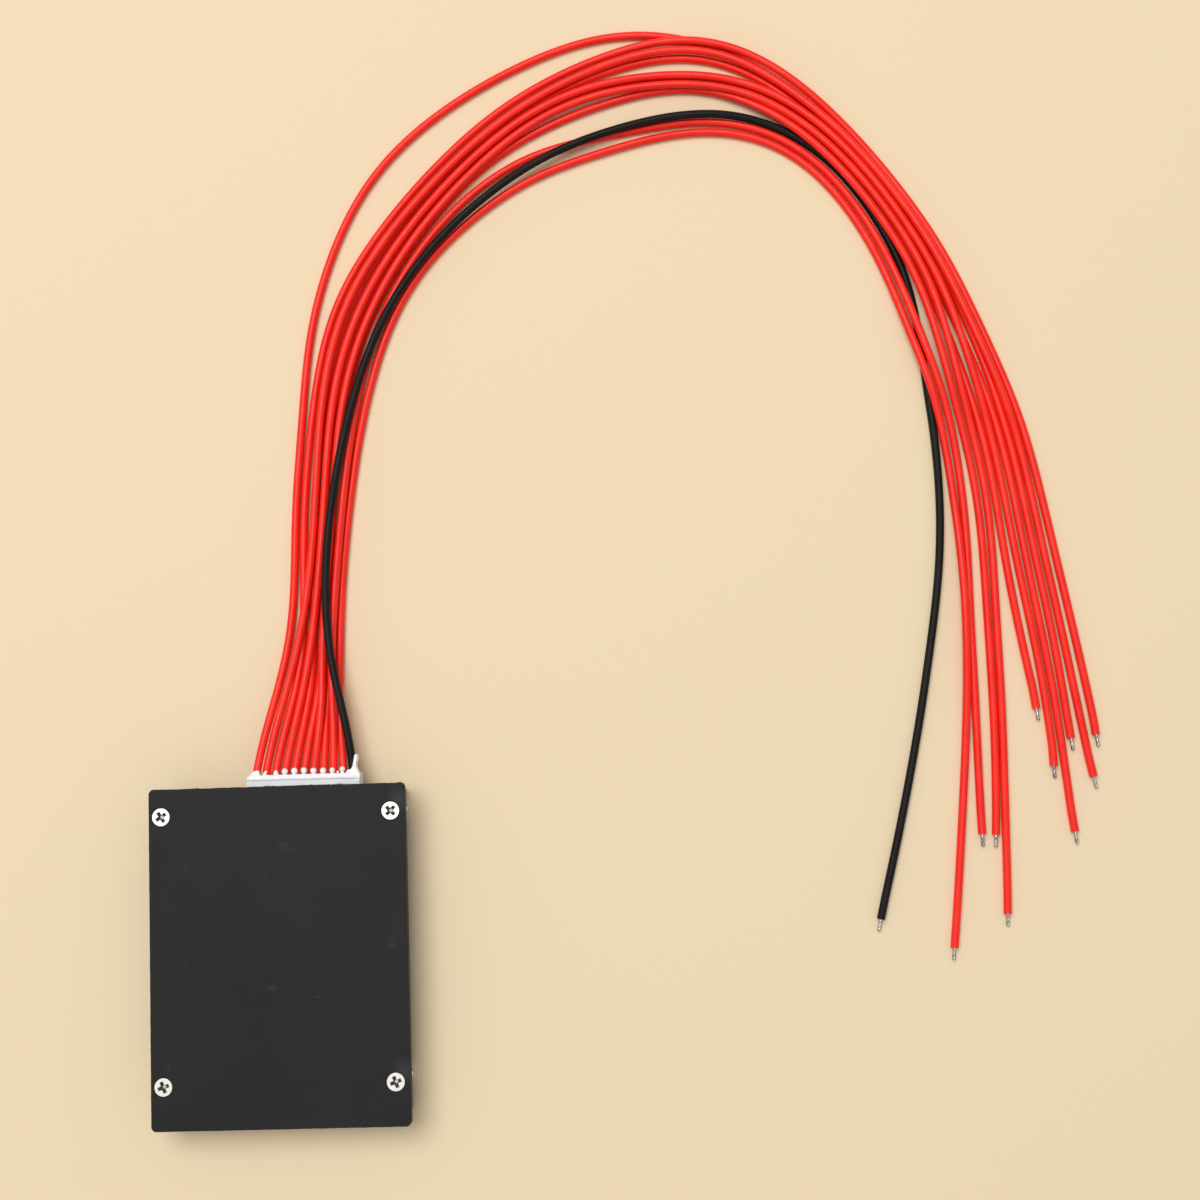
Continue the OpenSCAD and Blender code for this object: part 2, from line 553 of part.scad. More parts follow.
// Stands its children in the two rows, leads towards the middle.
module at_transistors() {
    for (k = [-1, 0, 1]) {
        translate([k * body_step, near_row_y, top_z])
            children();
        translate([k * body_step, far_row_y, top_z])
            rotate(180)
                children();
    }
}

module power_transistors() {
    color(black)
        at_transistors()
            difference() {
                box_at(0, 0, 0, [body_w, body_l, body_h]);
                box_at(0, tab_l / 2 - body_l / 2, -eps, [body_w + 1, tab_l + eps, tab_t + eps]);
            }
}

module transistor_tabs() {
    color(tin)
        at_transistors()
            box_at(0, -body_l / 2, 0, [body_w, 2 * tab_l, tab_t]);
}

// A gull-wing lead along +Y: out of the body at height z, then down to a foot on the board.
module gull_lead(w, t, z, out, foot) {
    translate([w / 2, 0, 0])
        rotate([0, -90, 0])
            linear_extrude(w)
                polygon([[z, 0], [z, out - foot], [0, out - foot], [0, out], [t, out],
                    [t, out - foot + t], [z + t, out - foot + t], [z + t, 0]]);
}

module transistor_leads() {
    color(tin)
        at_transistors()
            for (side = [-1, 1])
                translate([side * lead_step / 2, body_l / 2, 0])
                    gull_lead(lead_w, lead_t, lead_z, lead_l, lead_foot);
}

module thermal_pad() {
    low = near_row_y - body_l / 2;
    high = far_row_y + body_l / 2;
    color([0.55, 0.6, 0.66])
        box_at(0, (low + high) / 2, top_z + body_h,
            [2 * body_step + body_w, high - low, room_h - body_h]);
}

// ---- small parts ----

module chip_resistor(l, w, h) {
    box_at(0, 0, 0, [w, l, h]);
}

module current_shunts() {
    color(tin)
        for (k = [-1.5 : 1 : 1.5])
            translate([k * (shunt_l + shunt_gap), shunt_y, top_z])
                rotate(90)
                    chip_resistor(shunt_l, shunt_w, shunt_h);
}

module at_cells(step, y) {
    for (i = [0 : cell_n - 1])
        translate([socket_x + (i - (cell_n - 1) / 2) * step, y, top_z])
            children();
}

module bleed_resistors() {
    color(black)
        at_cells(bleed_step, bleed_y)
            chip_resistor(bleed_l, bleed_w, bleed_h);
}

module bleed_transistors() {
    color(black)
        at_cells(fet_step, bleed_fet_y)
            box_at(0, 0, standoff, [fet_w, fet_l, fet_h]);
}

module bleed_leads() {
    color(tin)
        at_cells(fet_step, bleed_fet_y) {
            for (side = [-1, 1])
                translate([side * fet_w / 3, fet_l / 2, 0])
                    gull_lead(fet_lead_w, thin_lead_t, fet_h / 2, fet_lead, fet_foot);
            translate([0, -fet_l / 2, 0])
                rotate(180)
                    gull_lead(fet_lead_w, thin_lead_t, fet_h / 2, fet_lead, fet_foot);
        }
}

module ceramic_capacitors() {
    color([0.72, 0.6, 0.45])
        at_cells(bleed_step, cap_y)
            chip_resistor(cap_l, cap_w, cap_h);
}

module monitor_chip() {
    color(black)
        box_at(chip_at[0], chip_at[1], top_z + standoff, [chip_l, chip_w, chip_h]);
}

module monitor_leads() {
    color(tin)
        for (i = [0 : chip_pins - 1]) for (side = [0, 180])
            translate([chip_at[0], chip_at[1], top_z])
                rotate(side)
                    translate([(i - (chip_pins - 1) / 2) * chip_pitch, chip_w / 2, 0])
                        gull_lead(chip_lead_w, thin_lead_t, chip_h / 2, chip_lead, chip_foot);
}

// The tinned lands and power tracks on the underside.
module power_lands() {
    color(tin)
        translate([0, 0, board_z - solder_t])
            linear_extrude(solder_t)
                for (k = [-1, 0, 1])
                    translate([k * land_step, land_y]) {
                        square([land_w, land_l], center = true);
                        translate([-track_w / 2, 0])
                            square([track_w, track_l]);
                        translate([0, track_l])
                            circle(d = track_w);
                    }
}

module pin_solder() {
    color(tin)
        for (i = [0 : wires - 1])
            translate([wire_x(i), pin_y, board_z])
                difference() {
                    translate([0, 0, -fillet_h])
                        cylinder(d1 = pin_w * 1.6, d2 = fillet_d, h = fillet_h, $fn = 24);
                    box_at(0, 0, -fillet_h - eps, [pin_w, pin_w, fillet_h + 2 * eps]);
                }
}

// ---- wire socket and plug ----

module socket_pins() {
    back_y = pin_y - pin_w / 2;
    color(tin)
        for (i = [0 : wires - 1]) {
            translate([wire_x(i) - pin_w / 2, back_y, plug_z - pin_w / 2])
                cube([pin_w, mouth_y - pin_short - back_y, pin_w]);
            translate([wire_x(i) - pin_w / 2, back_y, board_z - pin_below])
                cube([pin_w, pin_w, plug_z - board_z + pin_below]);
        }
}

module wire_socket() {
    room = socket_h - 2 * socket_wall;
    color(white)
        difference() {
            box_at(socket_x, mouth_y - socket_deep / 2, top_z, [socket_w, socket_deep, socket_h]);
            translate([socket_x - room_w / 2, mouth_y - socket_deep + socket_back, top_z + socket_wall])
                cube([room_w, socket_deep, room]);
            for (s = [-1, 1])
                box_at(socket_x + s * row_w * key_share, mouth_y - key_l / 2,
                    top_z + socket_h - socket_wall - eps,
                    [key_w, key_l + 2 * eps, socket_wall + 2 * eps]);
            for (i = [0 : wires - 1])
                box_at(wire_x(i), mouth_y - socket_deep + socket_back / 2, plug_z - pin_w / 2,
                    [pin_w, socket_back + 2 * eps, pin_w]);
        }
}

module plug_housing() {
    inner_h = socket_h - 2 * socket_wall - 2 * plug_clear;
    color(white)
        difference() {
            union() {
                box_at(socket_x, mouth_y - plug_in / 2, plug_z - inner_h / 2,
                    [plug_w, plug_in, inner_h]);
                box_at(socket_x, mouth_y + plug_out / 2, plug_z - plug_h / 2,
                    [socket_w - 2 * plug_inside, plug_out, plug_h]);
            }
            for (i = [0 : wires - 1])
                translate([wire_x(i) - cell_w / 2, mouth_y - plug_in - eps, plug_z - cell_h / 2])
                    cube([cell_w, plug_in + plug_out + 2 * eps, cell_h]);
        }
}

module plug_contacts() {
    end_y = mouth_y - plug_in + contact_in;
    color(brass)
        for (i = [0 : wires - 1])
            difference() {
                translate([wire_x(i) - cell_w / 2, end_y, plug_z - cell_h / 2])
                    cube([cell_w, exit_y - end_y, cell_h]);
                translate([wire_x(i) - pin_w / 2, end_y - eps, plug_z - pin_w / 2])
                    cube([pin_w, mouth_y - pin_short - end_y + 0.2, pin_w]);
            }
}

// Outline of the torn tail, as shares of its width and length.
tail_shape = [[0, 0], [0, 0.33], [0.26, 0.51], [0.35, 0.9], [0.52, 1], [0.65, 0.92], [0.83, 0.59],
    [1, 0.24], [0.83, 0]];

// The bead of adhesive behind the plug, with a drop on each wire and a torn tail at its right end.
module adhesive_bead() {
    half = row_w / 2 + glue_end;
    top = plug_h / 2;
    drop_y = exit_y + glue_out + drop_out;
    drop_z = plug_z + wire_r + 0.1;
    color(white)
        difference() {
            union() {
                translate([socket_x - half, exit_y, plug_z])
                    rotate([90, 0, 90])
                        linear_extrude(2 * half)
                            polygon([[-glue_lap, top], [-glue_lap, top + lap_t], [0, top + lap_t],
                                [glue_out, top / 2], [glue_out, -glue_deep / 2], [0, -glue_deep],
                                [0, top]]);
                for (i = [0 : wires - 2]) {
                    translate([wire_x(i), drop_y, drop_z])
                        sphere(drop_r, $fn = 32);
                    translate([wire_x(i), exit_y + 0.1, drop_z])
                        rotate([-90, 0, 0])
                            cylinder(r = i < 3 ? thick_strand_r : strand_r, h = glue_out + drop_out,
                            $fn = 24);
                }
                translate([socket_x + row_w / 2, exit_y, plug_z - tail_t / 3])
                    linear_extrude(tail_t)
                        scale([tail_w, tail_l])
                            polygon(tail_shape);
            }
            for (i = [0 : wires - 1])
                translate([wire_x(i), exit_y - eps, plug_z])
                    rotate([-90, 0, 0])
                        cylinder(r = wire_r + glue_clear, h = tail_l + 2 * eps);
        }
}

circuit_board();
cover_plate();
cover_screws();
spacer_sleeves();
screw_nuts();
thermal_pad();
power_transistors();
transistor_tabs();
transistor_leads();
current_shunts();
bleed_resistors();
bleed_transistors();
bleed_leads();
monitor_chip();
monitor_leads();
ceramic_capacitors();
power_lands();
pin_solder();
wire_socket();
socket_pins();
plug_housing();
plug_contacts();
adhesive_bead();
sense_wire(0);  // sense_wire_00
sense_wire(1);  // sense_wire_01
sense_wire(2);  // sense_wire_02
sense_wire(3);  // sense_wire_03
sense_wire(4);  // sense_wire_04
sense_wire(5);  // sense_wire_05
sense_wire(6);  // sense_wire_06
sense_wire(7);  // sense_wire_07
sense_wire(8);  // sense_wire_08
sense_wire(9);  // sense_wire_09
sense_wire(10);  // sense_wire_10
wire_tip(0);  // wire_tip_00
wire_tip(1);  // wire_tip_01
wire_tip(2);  // wire_tip_02
wire_tip(3);  // wire_tip_03
wire_tip(4);  // wire_tip_04
wire_tip(5);  // wire_tip_05
wire_tip(6);  // wire_tip_06
wire_tip(7);  // wire_tip_07
wire_tip(8);  // wire_tip_08
wire_tip(9);  // wire_tip_09
wire_tip(10);  // wire_tip_10
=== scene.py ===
"""Battery management board: rounded forms, finishes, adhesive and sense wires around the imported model."""

import logging
import math
from contextlib import contextmanager
from dataclasses import dataclass, field
from enum import Enum
from typing import Iterator, Sequence

import bmesh
import bpy
from mathutils import Matrix, Vector, noise
from mathutils.kdtree import KDTree


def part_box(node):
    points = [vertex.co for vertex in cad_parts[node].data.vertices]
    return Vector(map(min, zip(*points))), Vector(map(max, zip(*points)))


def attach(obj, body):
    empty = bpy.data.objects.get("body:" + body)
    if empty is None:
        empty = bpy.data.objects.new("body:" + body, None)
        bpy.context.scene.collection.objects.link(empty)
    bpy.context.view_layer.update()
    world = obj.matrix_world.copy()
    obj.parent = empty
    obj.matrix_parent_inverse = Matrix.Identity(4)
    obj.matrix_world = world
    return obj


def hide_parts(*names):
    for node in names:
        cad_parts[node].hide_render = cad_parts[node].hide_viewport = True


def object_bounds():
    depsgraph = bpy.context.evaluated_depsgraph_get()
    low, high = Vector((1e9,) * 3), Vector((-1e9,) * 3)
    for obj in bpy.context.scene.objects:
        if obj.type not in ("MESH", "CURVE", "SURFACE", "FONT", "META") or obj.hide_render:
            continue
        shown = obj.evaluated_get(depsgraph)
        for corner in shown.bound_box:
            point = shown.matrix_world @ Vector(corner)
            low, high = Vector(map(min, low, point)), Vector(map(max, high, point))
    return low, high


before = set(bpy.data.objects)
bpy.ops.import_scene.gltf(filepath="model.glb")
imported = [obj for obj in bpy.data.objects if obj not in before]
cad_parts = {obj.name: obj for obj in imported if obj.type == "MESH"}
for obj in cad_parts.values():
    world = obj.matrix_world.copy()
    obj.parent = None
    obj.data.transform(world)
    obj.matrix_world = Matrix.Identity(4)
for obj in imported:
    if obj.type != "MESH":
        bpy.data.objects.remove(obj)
CAD_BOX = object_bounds()
MM = 0.001
MERGE_MM = 1e-4
BODY = "root"

logging.basicConfig(level=logging.INFO, format="%(message)s")
log = logging.getLogger("board")

Output = bpy.types.NodeSocket
Material = bpy.types.Material
Object = bpy.types.Object
Vert, Edge, Face = bmesh.types.BMVert, bmesh.types.BMEdge, bmesh.types.BMFace
Colour = tuple[float, float, float]
Point = tuple[float, float, float]
Box = tuple[Vector, Vector]
Profile = Sequence[tuple[float, float]]


class Slot(Enum):
    """The record's material slots that the new pieces stand for."""

    COVER = "cover_black"
    STEEL = "plated_steel"
    SLEEVE = "sleeve_brass"
    PAD = "thermal_pad_grey"
    MOULDED = "moulded_black"
    TIN = "tinned_copper"
    SHUNT = "shunt_body"
    RESISTOR = "resistor_black"
    CAPACITOR = "capacitor_tan"
    SOLDER = "solder"
    SOCKET = "socket_white"
    PLUG = "plug_white"
    CONTACT = "contact_brass"
    ADHESIVE = "adhesive_white"
    RED = "wire_red"
    BLACK = "wire_black"
    STRANDS = "tinned_strands"


# ---------------------------------------------------------------- node trees


class Paint:
    """A material under construction, with short calls for the shader nodes that the finishes share."""

    def __init__(self, name: str, colour: Colour, roughness: float, metallic: float = 0.0,
                 specular: float = 0.5) -> None:
        """Makes a material with one Principled shader.

        Args:
            name: The material's name.
            colour: Base colour, linear.
            roughness: Roughness where nothing else drives it.
            metallic: 1 for bare metal, 0 for everything else.
            specular: Specular level of the Principled shader.
        """
        self.material = bpy.data.materials.new(name)
        self.material.use_nodes = True
        self.tree = self.material.node_tree
        self.shader = self.tree.nodes["Principled BSDF"]
        self.set("Base Color", (*colour, 1.0))
        self.set("Roughness", roughness)
        self.set("Metallic", metallic)
        self.set("Specular IOR Level", specular)
        self.place = self.node("ShaderNodeTexCoord").outputs["Object"]

    def set(self, socket: str, value: object) -> None:
        """Sets one of the shader's own sockets to a constant or links an output to it."""
        self.feed(self.shader.inputs[socket], value)

    def feed(self, socket: Output, value: object) -> None:
        """Puts a constant on a socket, or links it when the value is another node's output."""
        if isinstance(value, Output):
            self.tree.links.new(value, socket)
        else:
            socket.default_value = value

    def node(self, kind: str, **settings: object) -> bpy.types.Node:
        """Adds a shader node.

        Args:
            kind: The node's type name.
            settings: Attributes of the node to set.

        Returns:
            The new node.
        """
        made = self.tree.nodes.new(kind)
        for name, value in settings.items():
            setattr(made, name, value)
        return made

    def stretched(self, factors: Point) -> Output:
        """Object coordinates in metres, multiplied by a factor along each axis."""
        made = self.node("ShaderNodeMapping")
        self.feed(made.inputs["Vector"], self.place)
        made.inputs["Scale"].default_value = factors
        return made.outputs["Vector"]

    def noise(self, size_mm: float, detail: float = 3.0, place: Output | None = None,
              bend: float = 0.0) -> Output:
        """Perlin noise from 0 to 1.

        Args:
            size_mm: Size of its features.
            detail: Octaves.
            place: Coordinates in metres to use in place of the object's.
            bend: Distortion of the pattern.

        Returns:
            The noise's factor.
        """
        made = self.node("ShaderNodeTexNoise")
        self.feed(made.inputs["Vector"], place or self.place)
        made.inputs["Scale"].default_value = 1 / (size_mm * MM)
        made.inputs["Detail"].default_value = detail
        made.inputs["Roughness"].default_value = 0.55
        made.inputs["Distortion"].default_value = bend
        return made.outputs["Fac"]

    def cells(self, size_mm: float, place: Output) -> Output:
        """Distance to the nearest point of a Voronoi pattern with cells of that size."""
        made = self.node("ShaderNodeTexVoronoi")
        self.feed(made.inputs["Vector"], place)
        made.inputs["Scale"].default_value = 1 / (size_mm * MM)
        return made.outputs["Distance"]

    def ramp(self, value: Output, low: float, high: float, start: float = 0.0, end: float = 1.0) -> Output:
        """Maps a value from low..high to start..end, smoothly and clamped."""
        made = self.node("ShaderNodeMapRange", interpolation_type="SMOOTHSTEP")
        for name, number in (("From Min", low), ("From Max", high), ("To Min", start), ("To Max", end)):
            made.inputs[name].default_value = number
        self.feed(made.inputs["Value"], value)
        return made.outputs["Result"]

    def math(self, operation: str, a: object, b: object = 0.0) -> Output:
        """One Math node, such as ADD or MULTIPLY, on two values or outputs."""
        made = self.node("ShaderNodeMath", operation=operation)
        self.feed(made.inputs[0], a)
        self.feed(made.inputs[1], b)
        return made.outputs["Value"]

    def times(self, a: object, b: object) -> Output:
        """The product of two values or outputs."""
        return self.math("MULTIPLY", a, b)

    def mix(self, share: object, a: object, b: object) -> Output:
        """Mixes two linear colours or colour outputs, where a share of 0 gives a and 1 gives b."""
        made = self.node("ShaderNodeMix", data_type="RGBA")
        made.inputs["Factor"].default_value = 0.0
        self.feed(made.inputs[0], share)
        self.feed(made.inputs[6], (*a, 1.0) if isinstance(a, tuple) else a)
        self.feed(made.inputs[7], (*b, 1.0) if isinstance(b, tuple) else b)
        return made.outputs[2]

    def part_of(self, vector: Output, name: str) -> Output:
        """The X, Y or Z of a vector."""
        made = self.node("ShaderNodeSeparateXYZ")
        self.feed(made.inputs["Vector"], vector)
        return made.outputs[name]

    def along(self, axis: str) -> Output:
        """The object coordinate along one axis, in metres."""
        return self.part_of(self.place, axis)

    def facing(self, name: str) -> Output:
        """The X, Y or Z of the surface's direction."""
        return self.part_of(self.node("ShaderNodeNewGeometry").outputs["Normal"], name)

    def near(self, centre: Point, none_mm: float, full_mm: float = 0.0) -> Output:
        """1 up to one distance from a place, all in millimetres, falling to 0 at a larger one."""
        made = self.node("ShaderNodeVectorMath", operation="DISTANCE")
        self.feed(made.inputs[0], self.place)
        made.inputs[1].default_value = [value * MM for value in centre]
        return self.ramp(made.outputs["Value"], full_mm * MM, none_mm * MM, 1.0, 0.0)

    def near_any(self, centres: Sequence[Point], none_mm: float, full_mm: float) -> Output:
        """The largest of what near gives for several places."""
        best: object = 0.0
        for centre in centres:
            best = self.math("MAXIMUM", self.near(centre, none_mm, full_mm), best)
        return best

    def stripe(self, pattern: Output, width: float) -> Output:
        """1 where a pattern passes its middle value, falling to 0 beside it."""
        return self.ramp(self.math("ABSOLUTE", self.math("SUBTRACT", pattern, 0.5)), 0.0, width, 1.0, 0.0)

    def glow(self, weight: float, spread: Point, depth_mm: float) -> None:
        """Lets light wander a little under the surface."""
        self.set("Subsurface Weight", weight)
        self.set("Subsurface Radius", spread)
        self.set("Subsurface Scale", depth_mm * MM)

    def bump(self, height: Output, depth_mm: float, strength: float = 1.0) -> None:
        """Adds surface relief of that many millimetres on top of any that is there."""
        made = self.node("ShaderNodeBump")
        made.inputs["Strength"].default_value = strength
        made.inputs["Distance"].default_value = depth_mm * MM
        self.feed(made.inputs["Height"], height)
        earlier = self.shader.inputs["Normal"].links
        if earlier:
            self.feed(made.inputs["Normal"], earlier[0].from_socket)
        self.set("Normal", made.outputs["Normal"])


# ---------------------------------------------------------------- finishes


@dataclass(frozen=True)
class CoverCoat:
    """Matt black coat: faint mottling, hairline scratches, a painted sheen beside the right-hand screws for
    the light off the dished sheet, and bare specks along the sawn edges."""

    colour: Colour = (0.0125, 0.0125, 0.0128)
    pale: Colour = (0.05, 0.05, 0.051)
    # Painted sheen: a pale patch standing for light reflected where the sheet dishes beside the right-hand
    # screws.
    painted_sheen: Colour = (0.045, 0.048, 0.056)
    metal: Colour = (0.42, 0.43, 0.45)
    roughness: float = 0.5
    sheen_shift: tuple[float, float] = (1.7, 2.3)
    sheen_reach: float = 3.4
    dish_reach: float = 4.2
    dish_depth: float = 0.09
    hairs: tuple[tuple[float, Point, float], ...] = (
        (1.0, (0.04, 1.2, 0.1), 0.024), (1.2, (1.0, 0.05, 0.1), 0.02))

    def paint(self, dishes: Sequence[Point], top: float, edge_y: float) -> Material:
        """Builds the coat.

        Args:
            dishes: Places of the screws, where the sheet is drawn down a little.
            top: Height of the cover's upper face.
            edge_y: Place of the edge over the socket.

        Returns:
            The material.
        """
        paint = Paint("cover_coat", self.colour, self.roughness, specular=0.13)
        cloud = paint.noise(14, 4)
        fine = paint.noise(0.25, 3)
        hair = self.scratches(paint)
        height = paint.along("Z")
        on_top = paint.ramp(height, (top - 0.3) * MM, (top - 0.05) * MM)
        below = paint.ramp(height, (top - 0.35) * MM, (top - 0.12) * MM, 1.0, 0.0)
        rim = paint.times(below, paint.ramp(paint.noise(0.9, 5), 0.62, 0.7))
        far = paint.ramp(paint.along("Y"), (edge_y - 0.9) * MM, (edge_y - 0.1) * MM)
        chips = paint.times(far, paint.ramp(paint.noise(0.7, 5, bend=0.6), 0.6, 0.68, 0.0, 0.8))
        base = paint.mix(paint.ramp(cloud, 0.3, 0.75, 0.0, 0.14), self.colour, self.pale)
        base = paint.mix(paint.times(hair, on_top), base, self.pale)
        base = paint.mix(paint.times(chips, 0.4), base, self.pale)
        base = paint.mix(paint.times(rim, 0.12), base, self.metal)
        # Painted sheen: the pale patch beside each right-hand screw, standing for the light off the dished
        # sheet.
        for x, y, z in dishes:
            if x > 0:
                painted_sheen = paint.near((x + self.sheen_shift[0], y + self.sheen_shift[1], z), self.sheen_reach)
                base = paint.mix(paint.times(painted_sheen, 0.55), base, self.painted_sheen)
        paint.set("Base Color", base)
        uneven = paint.math("ADD", cloud, paint.times(fine, 0.5))
        paint.set("Roughness", paint.ramp(uneven, 0.4, 1.1, self.roughness - 0.05, self.roughness + 0.1))
        paint.bump(fine, 0.012, 0.5)
        paint.bump(paint.noise(2.6, 2), 0.02, 0.4)
        for place in dishes:
            paint.bump(paint.near(place, self.dish_reach), -self.dish_depth)
        return paint.material

    def scratches(self, paint: Paint) -> Output:
        """Thin pale lines in a few short stretches, with a strength from 0 to 1."""
        lines = [paint.stripe(paint.noise(size, 1, place=paint.stretched(stretch), bend=0.1), width)
                 for size, stretch, width in self.hairs]
        patch = paint.ramp(paint.noise(5.0, 2), 0.655, 0.7)
        return paint.times(paint.math("MAXIMUM", *lines), paint.times(patch, 0.5))


@dataclass(frozen=True)
class BareMetal:
    """Plated or turned metal with fine tool marks and a light uneven bloom."""

    name: str
    colour: Colour
    tint: Colour
    roughness: float
    mark_mm: float = 0.08
    relief_mm: float = 0.004
    along: Point = (1.0, 1.0, 1.0)

    def paint(self) -> Material:
        """Builds the metal."""
        paint = Paint(self.name, self.colour, self.roughness, metallic=1.0)
        marks = paint.noise(self.mark_mm, 3, place=paint.stretched(self.along))
        bloom = paint.noise(1.1, 4)
        paint.set("Base Color", paint.mix(paint.ramp(bloom, 0.35, 0.7), self.colour, self.tint))
        paint.set("Roughness", paint.ramp(paint.math("ADD", bloom, marks), 0.7, 1.3,
                                          self.roughness * 0.75, self.roughness * 1.25))
        paint.bump(marks, self.relief_mm)
        return paint.material


@dataclass(frozen=True)
class Moulding:
    """Moulded or cast plastic with a fine grain and slow colour drift."""

    name: str
    colour: Colour
    tint: Colour
    roughness: float
    grain_mm: float = 0.12
    relief_mm: float = 0.006
    drift_mm: float = 2.5
    glow: float = 0.0

    def paint(self) -> Material:
        """Builds the plastic."""
        paint = Paint(self.name, self.colour, self.roughness)
        drift = paint.noise(self.drift_mm, 4)
        grain = paint.noise(self.grain_mm, 3)
        paint.set("Base Color", paint.mix(paint.ramp(drift, 0.3, 0.7), self.colour, self.tint))
        paint.set("Roughness", paint.ramp(grain, 0.3, 0.7, self.roughness - 0.06, self.roughness + 0.06))
        if self.glow:
            paint.glow(self.glow, (1.0, 0.95, 0.9), 0.4)
        paint.bump(grain, self.relief_mm)
        return paint.material


@dataclass(frozen=True)
class Insulation:
    """Smooth satin wire insulation, with slow ripples and faint rub marks."""

    name: str
    colour: Colour
    tint: Colour
    roughness: float = 0.33
    specular: float = 0.32

    def paint(self) -> Material:
        """Builds the insulation."""
        paint = Paint(self.name, self.colour, self.roughness, specular=self.specular)
        slow = paint.noise(7, 3)
        rub = paint.noise(0.6, 4)
        paint.set("Base Color", paint.mix(paint.ramp(slow, 0.3, 0.7), self.colour, self.tint))
        paint.set("Roughness", paint.ramp(rub, 0.3, 0.75, self.roughness - 0.04, self.roughness + 0.12))
        paint.bump(paint.noise(1.6, 2), 0.012, 0.5)
        paint.bump(paint.noise(0.12, 2), 0.002, 0.5)
        return paint.material


@dataclass(frozen=True)
class SolderMask:
    """Laminate under a dark satin mask, with raised tracks, tinned vias and a fibrous sawn edge."""

    mask: Colour = (0.011, 0.012, 0.0125)
    track: Colour = (0.02, 0.022, 0.023)
    core: Colour = (0.055, 0.045, 0.025)
    tin: Colour = (0.6, 0.61, 0.6)

    def paint(self) -> Material:
        """Builds the board's finish."""
        paint = Paint("solder_mask", self.mask, 0.36)
        flat = paint.ramp(paint.math("ABSOLUTE", paint.facing("Z")), 0.4, 0.6)
        tracks = paint.math("MAXIMUM", *(
            paint.times(self.lanes(paint, paint.along(axis), step_mm),
                        paint.ramp(paint.noise(patch_mm, 0), low, low + 0.04))
            for axis, step_mm, patch_mm, low in (("X", 1.2, 6, 0.46), ("Y", 3.4, 9, 0.5))))
        vias = paint.ramp(paint.cells(2.7, paint.stretched((1.0, 1.0, 0.0))), 0.08, 0.1, 1.0, 0.0)
        weave = paint.noise(0.5, 3, place=paint.stretched((0.4, 0.4, 2.0)))
        face = paint.mix(tracks, self.mask, self.track)
        face = paint.mix(paint.times(vias, 0.8), face, self.tin)
        edge = paint.mix(paint.ramp(weave, 0.35, 0.65), self.core, self.mask)
        paint.set("Base Color", paint.mix(flat, edge, face))
        paint.set("Roughness", paint.ramp(flat, 0.0, 1.0, 0.8, 0.34))
        paint.bump(paint.times(tracks, flat), 0.035)
        paint.bump(weave, 0.01)
        return paint.material

    def lanes(self, paint: Paint, along: Output, step_mm: float) -> Output:
        """1 on narrow straight bands at a regular step, and 0 between them."""
        phase = paint.math("PINGPONG", along, step_mm * MM / 2)
        return paint.ramp(phase, 0.16 * MM, 0.2 * MM, 1.0, 0.0)


@dataclass(frozen=True)
class Silicone:
    """Cured white adhesive: satin, a little translucent, with soft lumps and painted shade in their dips."""

    colour: Colour = (0.9, 0.9, 0.9)
    # Painted shade: the darker colour in the dips of the lumps.
    hollow: Colour = (0.83, 0.83, 0.83)

    def paint(self) -> Material:
        """Builds the adhesive."""
        paint = Paint("silicone", self.colour, 0.32)
        lumps = paint.noise(0.9, 3)
        # Darker where the lumps' relief is low: painted shade in the dips.
        paint.set("Base Color", paint.mix(paint.ramp(lumps, 0.35, 0.7), self.hollow, self.colour))
        paint.set("Roughness", paint.ramp(paint.noise(0.4, 3), 0.3, 0.7, 0.26, 0.42))
        paint.glow(0.25, (1.0, 0.9, 0.88), 0.35)
        paint.bump(lumps, 0.03, 0.5)
        paint.bump(paint.noise(0.2, 2), 0.01, 0.5)
        return paint.material


@dataclass(frozen=True)
class DrivenHead:
    """Bright plating on the screws, dull in the recess, with painted shade there and a painted highlight at
    its middle.
    """

    colour: Colour = (0.72, 0.705, 0.68)
    worn: Colour = (0.63, 0.62, 0.6)
    # Painted shade on the recess's walls, and a painted highlight at its middle for the light off its flat
    # bottom.
    recess_shade: Colour = (0.12, 0.112, 0.105)
    recess_highlight: Colour = (0.62, 0.6, 0.57)
    roughness: float = 0.38
    highlight_depth: float = 0.75

    def paint(self, heads: Sequence[Point], reach: float, pit: float) -> Material:
        """Builds the plating.

        Args:
            heads: The middle of each head's flat top.
            reach: How far the recess goes from the middle.
            pit: Radius of the painted highlight at the recess's middle.

        Returns:
            The material.
        """
        paint = Paint("driven_head", self.colour, self.roughness, metallic=0.85)
        top = heads[0][2]
        depth = paint.ramp(paint.along("Z"), (top - 0.2) * MM, (top - 0.03) * MM, 1.0, 0.0)
        within = paint.near_any(heads, reach * 1.02, reach)
        # Painted highlight: lighter colour round a point below the middle of each head's top.
        highlight = paint.near_any([(x, y, z - self.highlight_depth) for x, y, z in heads], pit, pit * 0.5)
        marks = paint.noise(0.5, 4)
        base = paint.mix(paint.ramp(marks, 0.4, 0.7), self.colour, self.worn)
        # The recess's colour: painted shade, with the painted highlight at its middle.
        hollow = paint.mix(highlight, self.recess_shade, self.recess_highlight)
        dark = paint.times(depth, within)
        paint.set("Base Color", paint.mix(dark, base, hollow))
        uneven = paint.math("ADD", marks, dark)
        paint.set("Roughness", paint.ramp(uneven, 0.3, 1.4, self.roughness - 0.06, 0.7))
        paint.bump(paint.noise(0.3, 3), 0.002)
        return paint.material


# ---------------------------------------------------------------- shapes


